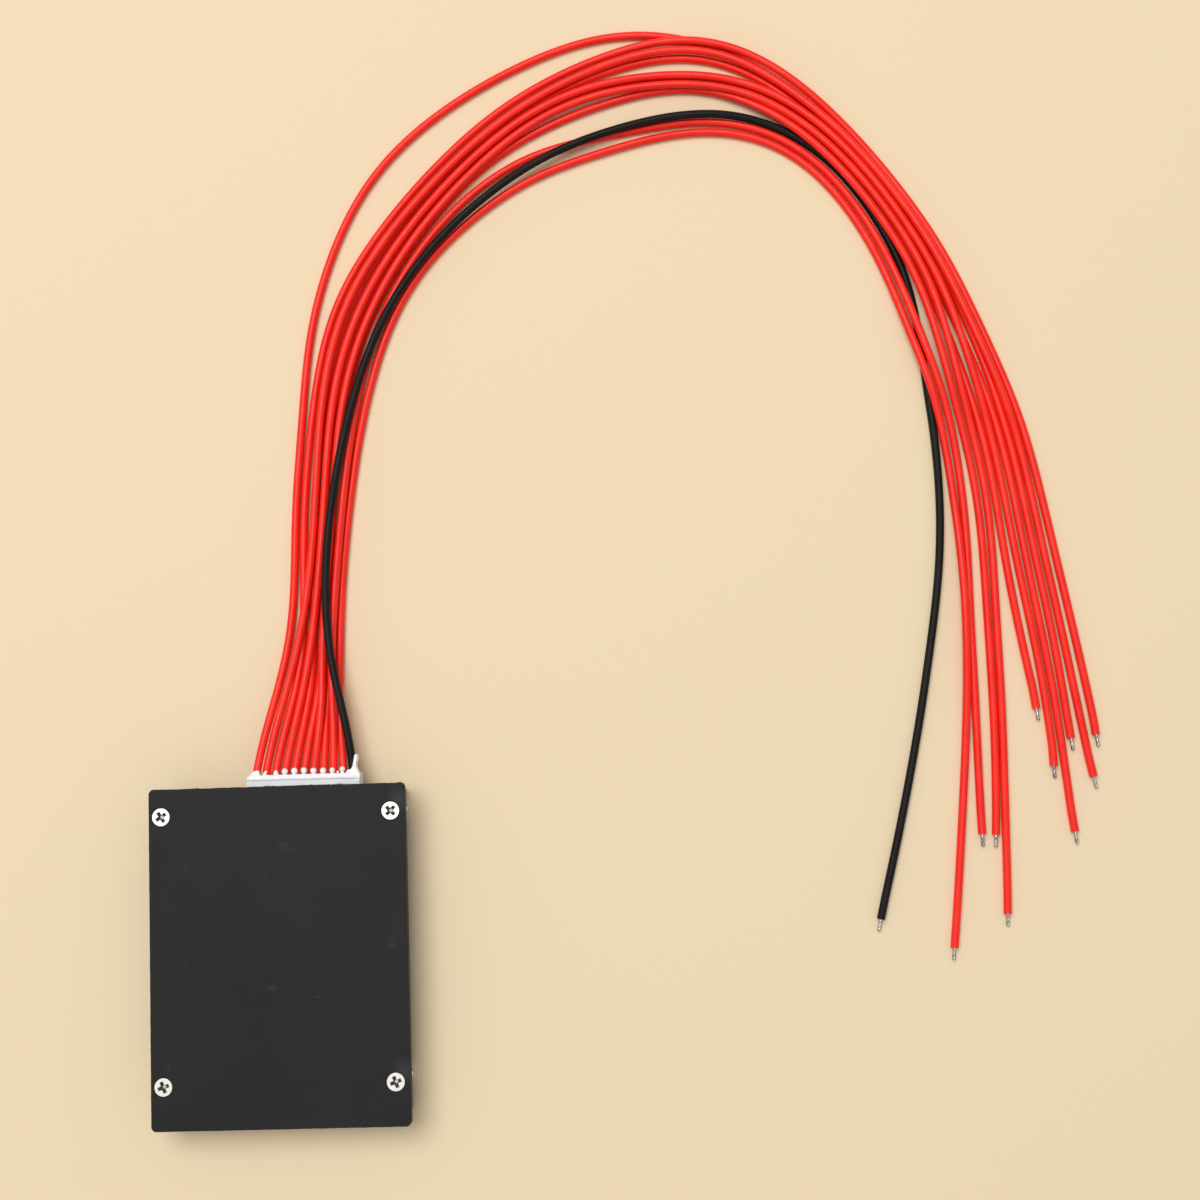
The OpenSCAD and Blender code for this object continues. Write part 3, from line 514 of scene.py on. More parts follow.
class Shape:
    """A mesh under construction in bmesh, in millimetres, that ends as one piece of the board."""

    def __init__(self) -> None:
        """Starts an empty mesh."""
        self.mesh = bmesh.new()

    @contextmanager
    def placed(self, matrix: Matrix) -> Iterator[None]:
        """Moves whatever is added inside the block by a matrix."""
        before = set(self.mesh.verts)
        yield
        added = [vert for vert in self.mesh.verts if vert not in before]
        bmesh.ops.transform(self.mesh, matrix=matrix, verts=added)

    def block(self, low: Sequence[float], high: Sequence[float], soften: float = 0.0,
              segments: int = 2) -> None:
        """Adds a box with rounded edges.

        Args:
            low: Its lowest corner.
            high: Its highest corner.
            soften: Width of the rounding.
            segments: Facets of the rounding.
        """
        low, high = Vector(low), Vector(high)
        verts = bmesh.ops.create_cube(self.mesh, size=1.0)["verts"]
        bmesh.ops.scale(self.mesh, vec=high - low, verts=verts)
        bmesh.ops.translate(self.mesh, vec=(low + high) / 2, verts=verts)
        if soften:
            self.bevel({edge for vert in verts for edge in vert.link_edges}, soften, segments)

    def sized(self, factor: float) -> None:
        """Scales the whole mesh about the origin."""
        bmesh.ops.scale(self.mesh, vec=(factor, factor, factor), verts=self.mesh.verts)

    def raised(self, faces: Sequence[Face], height: float) -> None:
        """Pulls flat faces up into a solid of that height."""
        made = bmesh.ops.extrude_face_region(self.mesh, geom=list(faces))["geom"]
        top = [item for item in made if isinstance(item, Vert)]
        bmesh.ops.translate(self.mesh, vec=(0, 0, height), verts=top)

    def cut_round(self, place: Matrix, profile: Profile, steps: int) -> None:
        """Takes a turned form, moved by a matrix, out of this shape."""
        tool = Shape()
        with tool.placed(place):
            tool.turned(profile, steps)
        self.combined(tool)

    def bevel(self, edges: set[Edge], width: float, segments: int = 2) -> None:
        """Rounds edges."""
        bmesh.ops.bevel(self.mesh, geom=list(edges), offset=width, offset_type="OFFSET", segments=segments,
                        profile=0.5, affect="EDGES", clamp_overlap=True, material=-1)

    def sharp_edges(self, degrees: float = 30.0) -> set[Edge]:
        """The edges at which the surface turns by more than an angle."""
        limit = math.radians(degrees)
        return {edge for edge in self.mesh.edges if edge.is_manifold and edge.calc_face_angle(0.0) > limit}

    def turned(self, profile: Profile, steps: int = 48) -> None:
        """Adds a round form: a profile of radius and height, spun once about Z."""
        before = set(self.mesh.verts)
        points = [self.mesh.verts.new((radius, 0.0, height)) for radius, height in profile]
        edges = [self.mesh.edges.new(pair) for pair in zip(points, points[1:])]
        bmesh.ops.spin(self.mesh, geom=points + edges, cent=(0, 0, 0), axis=(0, 0, 1), dvec=(0, 0, 0),
                       angle=math.tau, steps=steps, use_merge=True)
        added = [vert for vert in self.mesh.verts if vert not in before]
        bmesh.ops.remove_doubles(self.mesh, verts=added, dist=MERGE_MM)

    def through(self, kind: str, **settings: object) -> None:
        """Passes the mesh through one of Blender's modifiers and takes the result.

        Args:
            kind: The modifier's type.
            settings: Its settings.
        """
        self.clean()
        body = self.as_object("in_work")
        modifier = body.modifiers.new("step", kind)
        for name, value in settings.items():
            setattr(modifier, name, value)
        bpy.context.view_layer.update()
        shown = body.evaluated_get(bpy.context.evaluated_depsgraph_get())
        result = bpy.data.meshes.new_from_object(shown)
        self.mesh = bmesh.new()
        self.mesh.from_mesh(result)
        bmesh.ops.remove_doubles(self.mesh, verts=self.mesh.verts, dist=MERGE_MM)
        self.drop_flaps()
        bpy.data.meshes.remove(result)
        bpy.data.meshes.remove(body.data)

    def drop_flaps(self) -> None:
        """Takes out pairs of faces that lie back to back on the same corners."""
        seen: dict[frozenset[Vert], Face] = {}
        flaps: set[Face] = set()
        for face in self.mesh.faces:
            other = seen.setdefault(frozenset(face.verts), face)
            if other is not face:
                flaps |= {face, other}
        if flaps:
            bmesh.ops.delete(self.mesh, geom=list(flaps), context="FACES")

    def combined(self, other: "Shape", operation: str = "DIFFERENCE") -> None:
        """Takes another shape out of this one, or keeps what they share with INTERSECT."""
        other.clean()
        tool = other.as_object("tool")
        self.through("BOOLEAN", operation=operation, solver="EXACT", object=tool)
        bpy.data.meshes.remove(tool.data)

    def clean(self) -> None:
        """Points every face outwards."""
        bmesh.ops.recalc_face_normals(self.mesh, faces=self.mesh.faces)

    def as_object(self, name: str) -> Object:
        """Ends the bmesh and puts it in the scene under a name."""
        data = bpy.data.meshes.new(name)
        self.mesh.to_mesh(data)
        self.mesh.free()
        return linked(name, data)

    def finish(self, name: str, material: Material, slot: Slot, *nodes: str, sharp: float = 38.0) -> Object:
        """Ends the shape as a piece of the board.

        Args:
            name: The piece's name.
            material: Its finish.
            slot: The record's slot that the finish stands for; not used.
            nodes: The CAD nodes that the piece stands for.
            sharp: Angle in degrees above which an edge stays sharp.

        Returns:
            The piece.
        """
        self.clean()
        self.sized(MM)
        for face in self.mesh.faces:
            face.smooth = True
        for edge in self.sharp_edges(sharp):
            edge.smooth = False
        piece = self.as_object(name)
        piece.data.materials.append(material)
        weighting = piece.modifiers.new("weighting", "WEIGHTED_NORMAL")
        weighting.keep_sharp = True
        return adopt(piece, slot, *nodes)


def linked(name: str, data: bpy.types.ID) -> Object:
    """A new object with that data, put in the scene."""
    made = bpy.data.objects.new(name, data)
    bpy.context.scene.collection.objects.link(made)
    return made


def adopt(piece: Object, slot: Slot, *nodes: str) -> Object:
    """Fixes a piece to the board and hides the CAD nodes that it stands for."""
    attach(piece, BODY)
    if nodes:
        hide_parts(*nodes)
    return piece


def copied(node: str) -> Shape:
    """A CAD node's solids as one merged shape in millimetres, with flat faces whole."""
    shape = Shape()
    shape.mesh.from_mesh(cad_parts[node].data)
    shape.sized(1 / MM)
    bmesh.ops.remove_doubles(shape.mesh, verts=shape.mesh.verts, dist=1e-3)
    bmesh.ops.dissolve_limit(shape.mesh, angle_limit=math.radians(1), verts=shape.mesh.verts,
                             edges=shape.mesh.edges)
    return shape


def over(box: Box, height: float = 0.0) -> Matrix:
    """Moves a form from the origin to the middle of a box in plan, at a height."""
    middle = (box[0] + box[1]) / 2
    return Matrix.Translation((middle.x, middle.y, height))


def peg(radius: float, low: float, high: float) -> Profile:
    """The half section of a plain round peg between two heights."""
    return (0, low), (radius, low), (radius, high), (0, high)


def half_width(box: Box) -> float:
    """Half of a box's size along X."""
    return (box[1].x - box[0].x) / 2


def softened(node: str, width: float, segments: int = 2, degrees: float = 30.0) -> Shape:
    """A copy of a CAD node with its edges rounded."""
    shape = copied(node)
    shape.bevel(shape.sharp_edges(degrees), width, segments)
    return shape


def solids(node: str) -> list[Box]:
    """Lowest and highest corners, in millimetres, of each separate solid of a CAD node."""
    shape = copied(node)
    waiting = set(shape.mesh.verts)
    boxes = []
    while waiting:
        reach = [waiting.pop()]
        corners = []
        while reach:
            vert = reach.pop()
            corners.append(vert.co.copy())
            for edge in vert.link_edges:
                other = edge.other_vert(vert)
                if other in waiting:
                    waiting.remove(other)
                    reach.append(other)
        low = Vector([min(corner[axis] for corner in corners) for axis in range(3)])
        high = Vector([max(corner[axis] for corner in corners) for axis in range(3)])
        boxes.append((low, high))
    shape.mesh.free()
    return sorted(boxes, key=lambda box: (round(box[0].y, 2), round(box[0].x, 2)))


def millimetres(node: str) -> Box:
    """A CAD node's box in millimetres."""
    low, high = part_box(node)
    return low / MM, high / MM


# Each wire: the length of its insulation in millimetres, and its route from the plug. A point is x and y
# from the place where the middle wire leaves the plug, and the layer that the wire lies in.
ROUTES: tuple[tuple[float, tuple[Point, ...]], ...] = (
    (391, (
        (-9, 7.6, 2.4), (-6.6, 16, 1.2), (-4.6, 24.4, 0.4), (-3, 31.8, 0), (-2.6, 40.2, 0), (-2.4, 52, 0),
        (-1.8, 62.8, 0), (-0.4, 73.6, 0), (0.4, 84.4, 0), (1.8, 96.4, 0), (4.8, 106.2, 0), (10, 119.4, 0),
        (17.2, 130.4, 0), (26.6, 139, 0), (39.2, 147.2, 0), (51.8, 153, 0), (63.8, 157, 0),
        (74.8, 157.8, 0), (80.8, 156.8, 0), (86.6, 155.4, 0), (95.2, 152, 0), (107.2, 143.6, 0),
        (119.2, 131, 0), (134.6, 108.4, 0), (141.6, 91.8, 0), (145.6, 80.8, 0), (147.6, 74.2, 0),
        (149.2, 67.8, 0), (151.6, 55, 0), (153, 44.4, 0), (155.2, 31.6, 0), (156.8, 22.2, 0),
        (157.8, 12.8, 0), (159, 2.8, 0),
    )),
    (386, (
        (-7, 7.6, 2.4), (-4.8, 15.8, 1.4), (-2.4, 24.2, 1.1), (-0.6, 31.6, 1.1), (0.8, 40, 1.05),
        (2, 51.6, 1), (2.8, 62.4, 1), (3.4, 73, 1), (5, 83.8, 1), (7.8, 95.8, 1), (12.4, 105.4, 1),
        (23.8, 120.6, 1), (37, 133.4, 1), (45.6, 140.4, 1), (55.4, 145.6, 1), (65.8, 150.2, 1),
        (75.6, 152.6, 1), (80.6, 153.6, 1.05), (86.4, 153.4, 1.05), (95.4, 150.8, 1.1),
        (106.8, 142.6, 1.05), (119.4, 130.8, 1), (135, 108.2, 1), (142.2, 91.2, 1), (146.6, 80.4, 1),
        (149, 74, 0.8), (151, 67.8, 0), (153.4, 54.8, 0), (155, 44.2, 0), (157.2, 31.6, 0),
        (158.8, 22.2, 0), (160.2, 12.8, 0), (161.6, 3.4, 0), (163.2, -5.2, 0),
    )),
    (384, (
        (-5, 7.4, 2.4), (-2.8, 15.8, 1.2), (-0.8, 24.2, 0.3), (-0.8, 31.6, 0), (-0.6, 40.2, 0),
        (-0.6, 52, 0), (0.2, 62.8, 0), (1.4, 73.4, 0), (3, 84.2, 0), (5.6, 96.2, 0), (10, 106, 0),
        (22.4, 122.6, 0), (35.6, 135.6, 0), (44.6, 142.8, 0), (54.4, 148, 0), (65.2, 152.6, 0.1),
        (75.4, 154.8, 0.6), (80.8, 155.6, 1.05), (86.6, 155.4, 1.05), (96, 153, 1.05), (108.2, 144.4, 1),
        (120.6, 132.2, 0), (136.4, 109.2, 0), (144, 91.6, 0), (148.4, 80.6, 0), (151, 74.2, 0),
        (152.8, 67.6, 0), (155.4, 54.8, 0), (157.2, 44.2, 0), (159.6, 31.6, 0), (161.2, 22, 0),
        (162.8, 13.6, 0), (164.2, 3.4, 0),
    )),
    (373, (
        (-3, 7.4, 2.4), (-1, 15.8, 1.5), (0.8, 24, 1.3), (1.6, 31.4, 1.1), (2.8, 40, 1.05),
        (3.8, 51.6, 1.05), (4.8, 62.2, 1), (5.6, 73, 1), (7.2, 83.8, 1), (11, 95.6, 1), (15.8, 105.2, 1),
        (25.6, 118.8, 1), (38.4, 131.6, 1), (47, 138.4, 1), (56.6, 143.6, 1), (66.8, 146.8, 1),
        (76.2, 147.2, 1), (85.6, 147.6, 1), (96, 145.8, 1), (105.4, 141, 1.05), (118.2, 129.6, 1),
        (133.2, 107.2, 1), (139.6, 91.4, 1), (141.8, 80.6, 1), (144.2, 74.2, 0.7), (145.6, 68, 0),
        (147.8, 55, 0), (149, 44.4, 0), (151.2, 31.8, 0), (152.6, 22.4, 0), (153.8, 15, 0), (154.8, 6.6, 0),
        (155.2, -2.8, 0),
    )),
    (393, (
        (-1.2, 7.4, 2.4), (0.6, 15.6, 0.9), (1.4, 24.2, 0.3), (1.2, 31.6, 0), (1.4, 40.2, 0), (1.4, 52, 0),
        (2.4, 62.6, 0), (3.6, 73.4, 0), (5.6, 84.2, 0), (8.4, 96, 0), (13.4, 105.8, 0), (24.2, 120.4, 0),
        (37.4, 133.2, 0), (46.2, 140.2, 0), (56, 145.2, 0), (66.2, 149.2, 0), (75.8, 151.6, 0),
        (86, 152.4, 0), (94.6, 149.6, 0), (106, 142.2, 0), (117.8, 129.8, 0), (133, 107.4, 0),
        (139, 91.8, 0), (143.6, 80.8, 0), (145.8, 74.4, 0), (147.4, 67.8, 0), (149.8, 55, 0),
        (151, 44.4, 0), (153.2, 31.8, 0), (154.4, 22.2, 0), (155.8, 15, 0), (156.8, 4.6, 0),
        (157.8, -7.8, 0), (158.8, -16.4, 0),
    )),
    (358, (
        (0.6, 7.4, 2.4), (2.4, 15.6, 0.9), (3.4, 24, 0.3), (3.2, 31.6, 0), (3.2, 40, 0), (3.2, 51.8, 0),
        (4.2, 62.6, 0), (5.8, 73.4, 0), (8.2, 84, 0), (11.4, 96, 0), (16.8, 105.6, 0), (26, 118.6, 0),
        (38.6, 131.4, 0), (47.2, 138.4, 0), (57, 143.4, 0), (67, 146.6, 0), (76.2, 147, 0),
        (85.6, 147.4, 0), (96, 145.6, 0), (104.8, 140.6, 0), (116.4, 128.6, 0), (131.2, 106.6, 0),
        (136.6, 92, 0), (140.2, 81, 0), (142.4, 74.4, 0), (143.8, 68, 0), (146, 55.2, 0), (146.8, 44.6, 0),
        (148.6, 31.8, 0), (150, 22.4, 0), (151.4, 15, 0), (152.2, 9.2, 0),
    )),
    (395, (
        (2.6, 7.2, 2.8), (4, 15.6, 2), (3, 24, 1.4), (3.8, 31.4, 1.1), (4.6, 39.8, 1.05), (5.8, 51.6, 1.05),
        (6.6, 62.2, 1), (7.6, 73, 1), (9.6, 83.6, 1), (13.4, 95.4, 1), (18.6, 105, 1), (27, 117.2, 1),
        (39.6, 129.8, 1), (48, 136.6, 1), (57.6, 141.8, 1), (67.2, 144.6, 1), (76.4, 145.2, 1),
        (85.4, 145.6, 1), (95.8, 143.8, 1), (104.2, 139.2, 1.05), (116.8, 128.4, 1), (131.6, 106.4, 1),
        (137, 91.4, 1), (138.6, 80.6, 1), (140.4, 74.2, 0.8), (141.8, 68, 0), (144.2, 55.2, 0),
        (144.8, 44.6, 0), (144.8, 32, 0), (145, 22.6, 0), (145.2, 9, 0), (144.8, -7.4, 0),
        (144.6, -21.8, 0), (144.2, -32.8, 0),
    )),
    (375, (
        (4.2, 7.2, 2.1), (4.2, 15.6, 0.8), (5.2, 24, 0.2), (5, 31.4, 0), (5.2, 40, 0), (5.2, 51.8, 0),
        (6.4, 62.4, 0), (7.8, 73.2, 0), (10.2, 84, 0), (13.6, 95.8, 0), (19.2, 105.6, 0), (27.2, 117.2, 0),
        (39.8, 129.8, 0), (48.8, 135.6, 0), (58.8, 140, 0), (68, 142.6, 0), (76.6, 144.8, 0),
        (85.4, 145.4, 0), (95.6, 142.6, 0.2), (103, 137.8, 1), (115.4, 127.2, 1), (129.8, 105.4, 1),
        (134.6, 91.6, 1), (136.6, 80.8, 1), (138.6, 74.4, 0.8), (139.8, 68.2, 0), (142.2, 55.4, 0),
        (142.8, 44.8, 0), (143, 32, 0), (143.2, 22.6, 0), (143.4, 9, 0), (143.2, -5.4, 0),
        (142.6, -16.6, 0),
    )),
    (364, (
        (6.2, 7.2, 2.7), (5.8, 15.4, 1.9), (5, 24, 1.3), (5.8, 31.4, 1.1), (6.4, 39.8, 1.05),
        (7.6, 51.4, 1), (8.8, 62.2, 1), (10.4, 73, 0.7), (12.6, 84, 0), (16, 95.8, 0), (21.4, 105.4, 0),
        (28.6, 115.8, 0), (41.6, 127.2, 0), (51, 132, 0), (61.4, 134.8, 0), (70.2, 134.6, 0),
        (77.4, 137.4, 0), (86.6, 137.8, 0), (95.2, 137, 0), (100.6, 135.2, 0), (113.8, 126, 0),
        (127, 104.2, 0.3), (130.2, 92, 1.15), (134.6, 81, 1.05), (136.8, 74.4, 0.7), (137.8, 68.2, 0),
        (139, 55.4, 0), (139.8, 44.8, 0), (139.4, 32.2, 0), (139.6, 22.8, 0), (139.8, 11.2, 0),
        (139.6, -3.2, 0), (139.8, -16.4, 0),
    )),
    (380, (
        (7.8, 7, 2.1), (6.4, 15.6, 0.8), (7, 24, 0.1), (7, 31.4, 0), (7.4, 40, 0), (8.8, 51.6, 0),
        (10.2, 62.4, 0), (12, 73, 0), (14.8, 83.8, 0), (18.6, 95.6, 0), (24.2, 105.4, 0), (31, 113.2, 0),
        (44.4, 123.4, 0), (53.2, 128.4, 0), (63.6, 130.6, 0), (70.6, 132.8, 0), (77.6, 134.8, 0),
        (86.6, 135.6, 0), (94.8, 134.8, 0), (99.4, 133.8, 0), (112.4, 124.8, 0), (125.4, 103.4, 0),
        (128.2, 92, 0.55), (132.6, 81, 1.05), (134.6, 74.6, 0.8), (135.8, 68.4, 0), (137, 55.4, 0),
        (138, 44.8, 0.6), (138.4, 32, 1.05), (138.2, 22.8, 1), (138, 11.4, 0.3), (137, -1, 0),
        (136.2, -9.2, 0), (134.6, -25.6, 0), (133, -39.4, 0),
    )),
    (383, (
        (9.6, 7, 2.8), (7.6, 15.4, 2.9), (5.4, 23.8, 2.4), (4.6, 31.2, 2.2), (4.6, 39.6, 2.1),
        (5.4, 51.4, 2.1), (7, 62, 2.1), (9.4, 72.6, 1.9), (12.2, 83.6, 1.1), (16.6, 95.2, 1.1),
        (22.8, 104.8, 1.1), (30, 113.8, 1.1), (43.2, 124.6, 1.1), (52, 130.2, 1.1), (61.4, 134.2, 1.1),
        (69.8, 135.8, 1), (77.2, 138.4, 1), (86.6, 138.8, 1), (95.2, 138.2, 1), (101.6, 136.6, 0.2),
        (115.2, 127.4, 0), (128.6, 105.2, 0), (131.4, 92.2, 0), (132, 81.4, 0), (133.2, 74.8, 0),
        (134, 68.4, 0), (134.4, 55.6, 0), (134.2, 45, 0), (132.8, 32.4, 0), (130.8, 23, 0), (129, 11.6, 0),
        (126.2, -0.8, 0), (122.4, -17.2, 0), (120.2, -25.2, 0), (118.2, -33.2, 0),
    )),
)


# ---------------------------------------------------------------- sense wires


@dataclass
class SenseWires:
    """Eleven loose sense wires with tinned ends, ten red and one black.

    A wire's line goes through the points of its route. It is divided evenly (grain), freed of short kinks
    (blur and ease) and kept clear of the other wires (rounds and push_share). Lengths are in millimetres.
    """

    wire_mm: float = 1.7
    tip_mm: float = 0.7
    tip_length_mm: float = 2.5
    straight_mm: float = 2.4
    spacing_mm: float = 2.0
    socket_x: float = 5.1
    exit_y: float = 36.4
    exit_z: float = 5.6
    steps: int = 16
    grain: float = 1.5
    blur: float = 9.0
    ease_from: float = 10.0
    ease_over: float = 30.0
    ease_most: float = 2.2
    kept_end: int = 4
    rounds: int = 24
    push_share: float = 0.25
    strands: int = 7
    facets: int = 42
    groove: float = 0.13
    wraps: int = 18
    twist: float = 150.0
    dome: tuple[tuple[float, float], ...] = ((0.88, 0.07), (0.62, 0.05))
    lines: list[list[Vector]] = field(default_factory=list)

    def line(self, number: int) -> list[Vector]:
        """The middle of one wire, in millimetres, from the plug to the end of its insulation."""
        radius = self.wire_mm / 2
        start = Vector((self.exit_x(number), self.exit_y, self.exit_z))
        route = [start, start + Vector((0, self.straight_mm, 0))]
        route += [Vector((self.socket_x + x, self.exit_y + y, radius + layer * self.wire_mm))
                  for x, y, layer in ROUTES[number][1]]
        last = len(route) - 1
        points = [route[0], (route[0] + route[1]) / 2]
        for index in range(1, last):
            near = (route[index - 1], route[index], route[index + 1], route[min(index + 2, last)])
            points += [self.between(*near, step / self.steps) for step in range(self.steps)]
        points.append(route[last])
        for point in points:
            point.z = max(point.z, radius)
        return points

    def lie(self) -> None:
        """Lays every wire as limp wires lie: in long smooth arcs, beside and over each other."""
        self.lines = [self.eased(self.even(self.line(number))) for number in range(len(ROUTES))]
        for _ in range(self.rounds):
            self.push_apart()
            for line in self.lines:
                for index in range(2, len(line) - self.kept_end):
                    line[index] = line[index] / 2 + (line[index - 1] + line[index + 1]) / 4
                    line[index].z = max(line[index].z, self.wire_mm / 2)
        self.push_apart()
        limit = CAD_BOX[1][0] / MM - self.wire_mm / 2
        for line in self.lines:
            for point in line:
                point.x = min(point.x, limit)

    def even(self, line: list[Vector]) -> list[Vector]:
        """The same line with its points at even distances."""
        places = [0.0]
        for here, ahead in zip(line, line[1:]):
            places.append(places[-1] + (ahead - here).length)
        count = round(places[-1] / self.grain)
        result, index = [], 0
        for step in range(count):
            goal = places[-1] * step / count
            while places[index + 1] < goal:
                index += 1
            share = (goal - places[index]) / (places[index + 1] - places[index])
            result.append(line[index].lerp(line[index + 1], share))
        return result + [line[-1]]

    def eased(self, line: list[Vector]) -> list[Vector]:
        """A line with its short kinks taken out, more so away from the plug, and its ends kept."""
        once = self.blurred(line)
        twice = self.blurred(once)
        result = []
        for index, point in enumerate(line):
            shift = 2 * once[index] - twice[index] - point
            shift.z = 0
            share = min(max((index * self.grain - self.ease_from) / self.ease_over, 0), 1)
            share *= min(max((len(line) - self.kept_end - index) / self.kept_end, 0), 1)
            shift *= share * share * (3 - 2 * share)
            if shift.length > self.ease_most:
                shift.length = self.ease_most
            result.append(point + shift)
        return result

    def blurred(self, line: list[Vector]) -> list[Vector]:
        """Each point as the weighted middle of those near it along the wire."""
        reach = int(2.5 * self.blur / self.grain)
        weights = [math.exp(-(step * self.grain / self.blur) ** 2 / 2) for step in range(-reach, reach + 1)]
        padded = [2 * line[0] - line[step] for step in range(reach, 0, -1)] + line
        padded += [2 * line[-1] - line[-1 - step] for step in range(1, reach + 1)]
        total = sum(weights)
        return [sum((weight * place for weight, place in zip(weights, padded[index:])), Vector()) / total
                for index in range(len(line))]

    def push_apart(self) -> None:
        """Moves wires that run into each other apart, and none of them below the surface."""
        owners = [(number, index) for number, line in enumerate(self.lines) for index in range(len(line))]
        tree = KDTree(len(owners))
        for entry, (number, index) in enumerate(owners):
            tree.insert(self.lines[number][index], entry)
        tree.balance()
        moved = []
        for number, index in owners:
            place = self.lines[number][index]
            push = Vector()
            for other, entry, distance in tree.find_range(place, self.wire_mm):
                if owners[entry][0] != number and distance > 0:
                    push += (place - other) * (self.wire_mm - distance) / distance * self.push_share
            moved.append(push)
        for (number, index), push in zip(owners, moved):
            if 1 < index < len(self.lines[number]) - self.kept_end:
                self.lines[number][index] += push
                self.lines[number][index].z = max(self.lines[number][index].z, self.wire_mm / 2)

    def exit_x(self, number: int) -> float:
        """Where a wire leaves the plug, along X."""
        return self.socket_x + (number - (len(ROUTES) - 1) / 2) * self.spacing_mm

    def between(self, a: Vector, b: Vector, c: Vector, d: Vector, t: float) -> Vector:
        """A point on the smooth curve from b to c, with a before them and d after."""
        return (2 * b + (c - a) * t + (2 * a - 5 * b + 4 * c - d) * t * t
                + (3 * b - a - 3 * c + d) * t * t * t) / 2

    def sheath(self, number: int, material: Material, slot: Slot) -> Object:
        """One wire's insulation, as a round curve along its line."""
        name = f"sense_wire_{number:02d}"
        curve = bpy.data.curves.new(name + "_sheath", "CURVE")
        curve.dimensions = "3D"
        curve.bevel_depth = self.wire_mm / 2 * MM
        curve.bevel_resolution = 6
        curve.use_fill_caps = True
        spline = curve.splines.new("POLY")
        points = self.lines[number]
        spline.points.add(len(points) - 1)
        for point, place in zip(spline.points, points):
            point.co = (*(place * MM), 1.0)
        spline.use_smooth = True
        piece = linked(name + "_sheath", curve)
        curve.materials.append(material)
        return adopt(piece, slot, name)

    def tip(self, number: int, material: Material) -> Object:
        """One bare wire end: strands twisted round each other and dipped in solder."""
        shape = Shape()
        ring = bmesh.ops.create_circle(shape.mesh, segments=self.facets, radius=1.0)["verts"]
        for vert in ring:
            turn = math.atan2(vert.co.y, vert.co.x)
            lobe = abs(math.cos((self.strands - 1) * turn / 2))
            vert.co *= self.tip_mm / 2 * (1 - self.groove + self.groove * lobe)
        edges = list({edge for vert in ring for edge in vert.link_edges})
        bmesh.ops.contextual_create(shape.mesh, geom=edges)
        body = self.tip_length_mm - sum(rise for _, rise in self.dome)
        spun = bmesh.ops.spin(shape.mesh, geom=edges, cent=(0, 0, 0), axis=(0, 0, 1),
                              dvec=(0, 0, body / self.wraps), angle=math.radians(self.twist),
                              steps=self.wraps)
        rim = [item for item in spun["geom_last"] if isinstance(item, Edge)]
        for grow, rise in self.dome:
            made = bmesh.ops.extrude_edge_only(shape.mesh, edges=rim)["geom"]
            rim = [item for item in made if isinstance(item, Edge)]
            top = list({vert for edge in rim for vert in edge.verts})
            bmesh.ops.scale(shape.mesh, vec=(grow, grow, 1), verts=top)
            bmesh.ops.translate(shape.mesh, vec=(0, 0, rise), verts=top)
        bmesh.ops.contextual_create(shape.mesh, geom=rim)
        line = self.line(number)
        ahead = (line[-1] - line[-1 - self.steps // 2]).normalized()
        place = Matrix.Translation(line[-1]) @ ahead.to_track_quat("Z", "Y").to_matrix().to_4x4()
        bmesh.ops.transform(shape.mesh, matrix=place, verts=shape.mesh.verts)
        return shape.finish(f"wire_end_{number:02d}", material, Slot.STRANDS, f"wire_tip_{number:02d}",
                            sharp=70)

    def build(self) -> None:
        self.lie()
        red = Insulation("wire_red", (0.93, 0.021, 0.008), (0.86, 0.014, 0.005)).paint()
        black = Insulation("wire_black", (0.0055, 0.0045, 0.0045), (0.009, 0.0075, 0.0075), 0.4,
                           0.12).paint()
        strands = BareMetal("tinned_strands", (0.46, 0.45, 0.45), (0.16, 0.155, 0.15), 0.26,
                            relief_mm=0.01).paint()
        for number, (length, _) in enumerate(ROUTES):
            last = number == len(ROUTES) - 1
            piece = self.sheath(number, black if last else red, Slot.BLACK if last else Slot.RED)
            tip = self.tip(number, strands)
        log.info("sense wires: %d", len(ROUTES))


# ---------------------------------------------------------------- cover and fastening


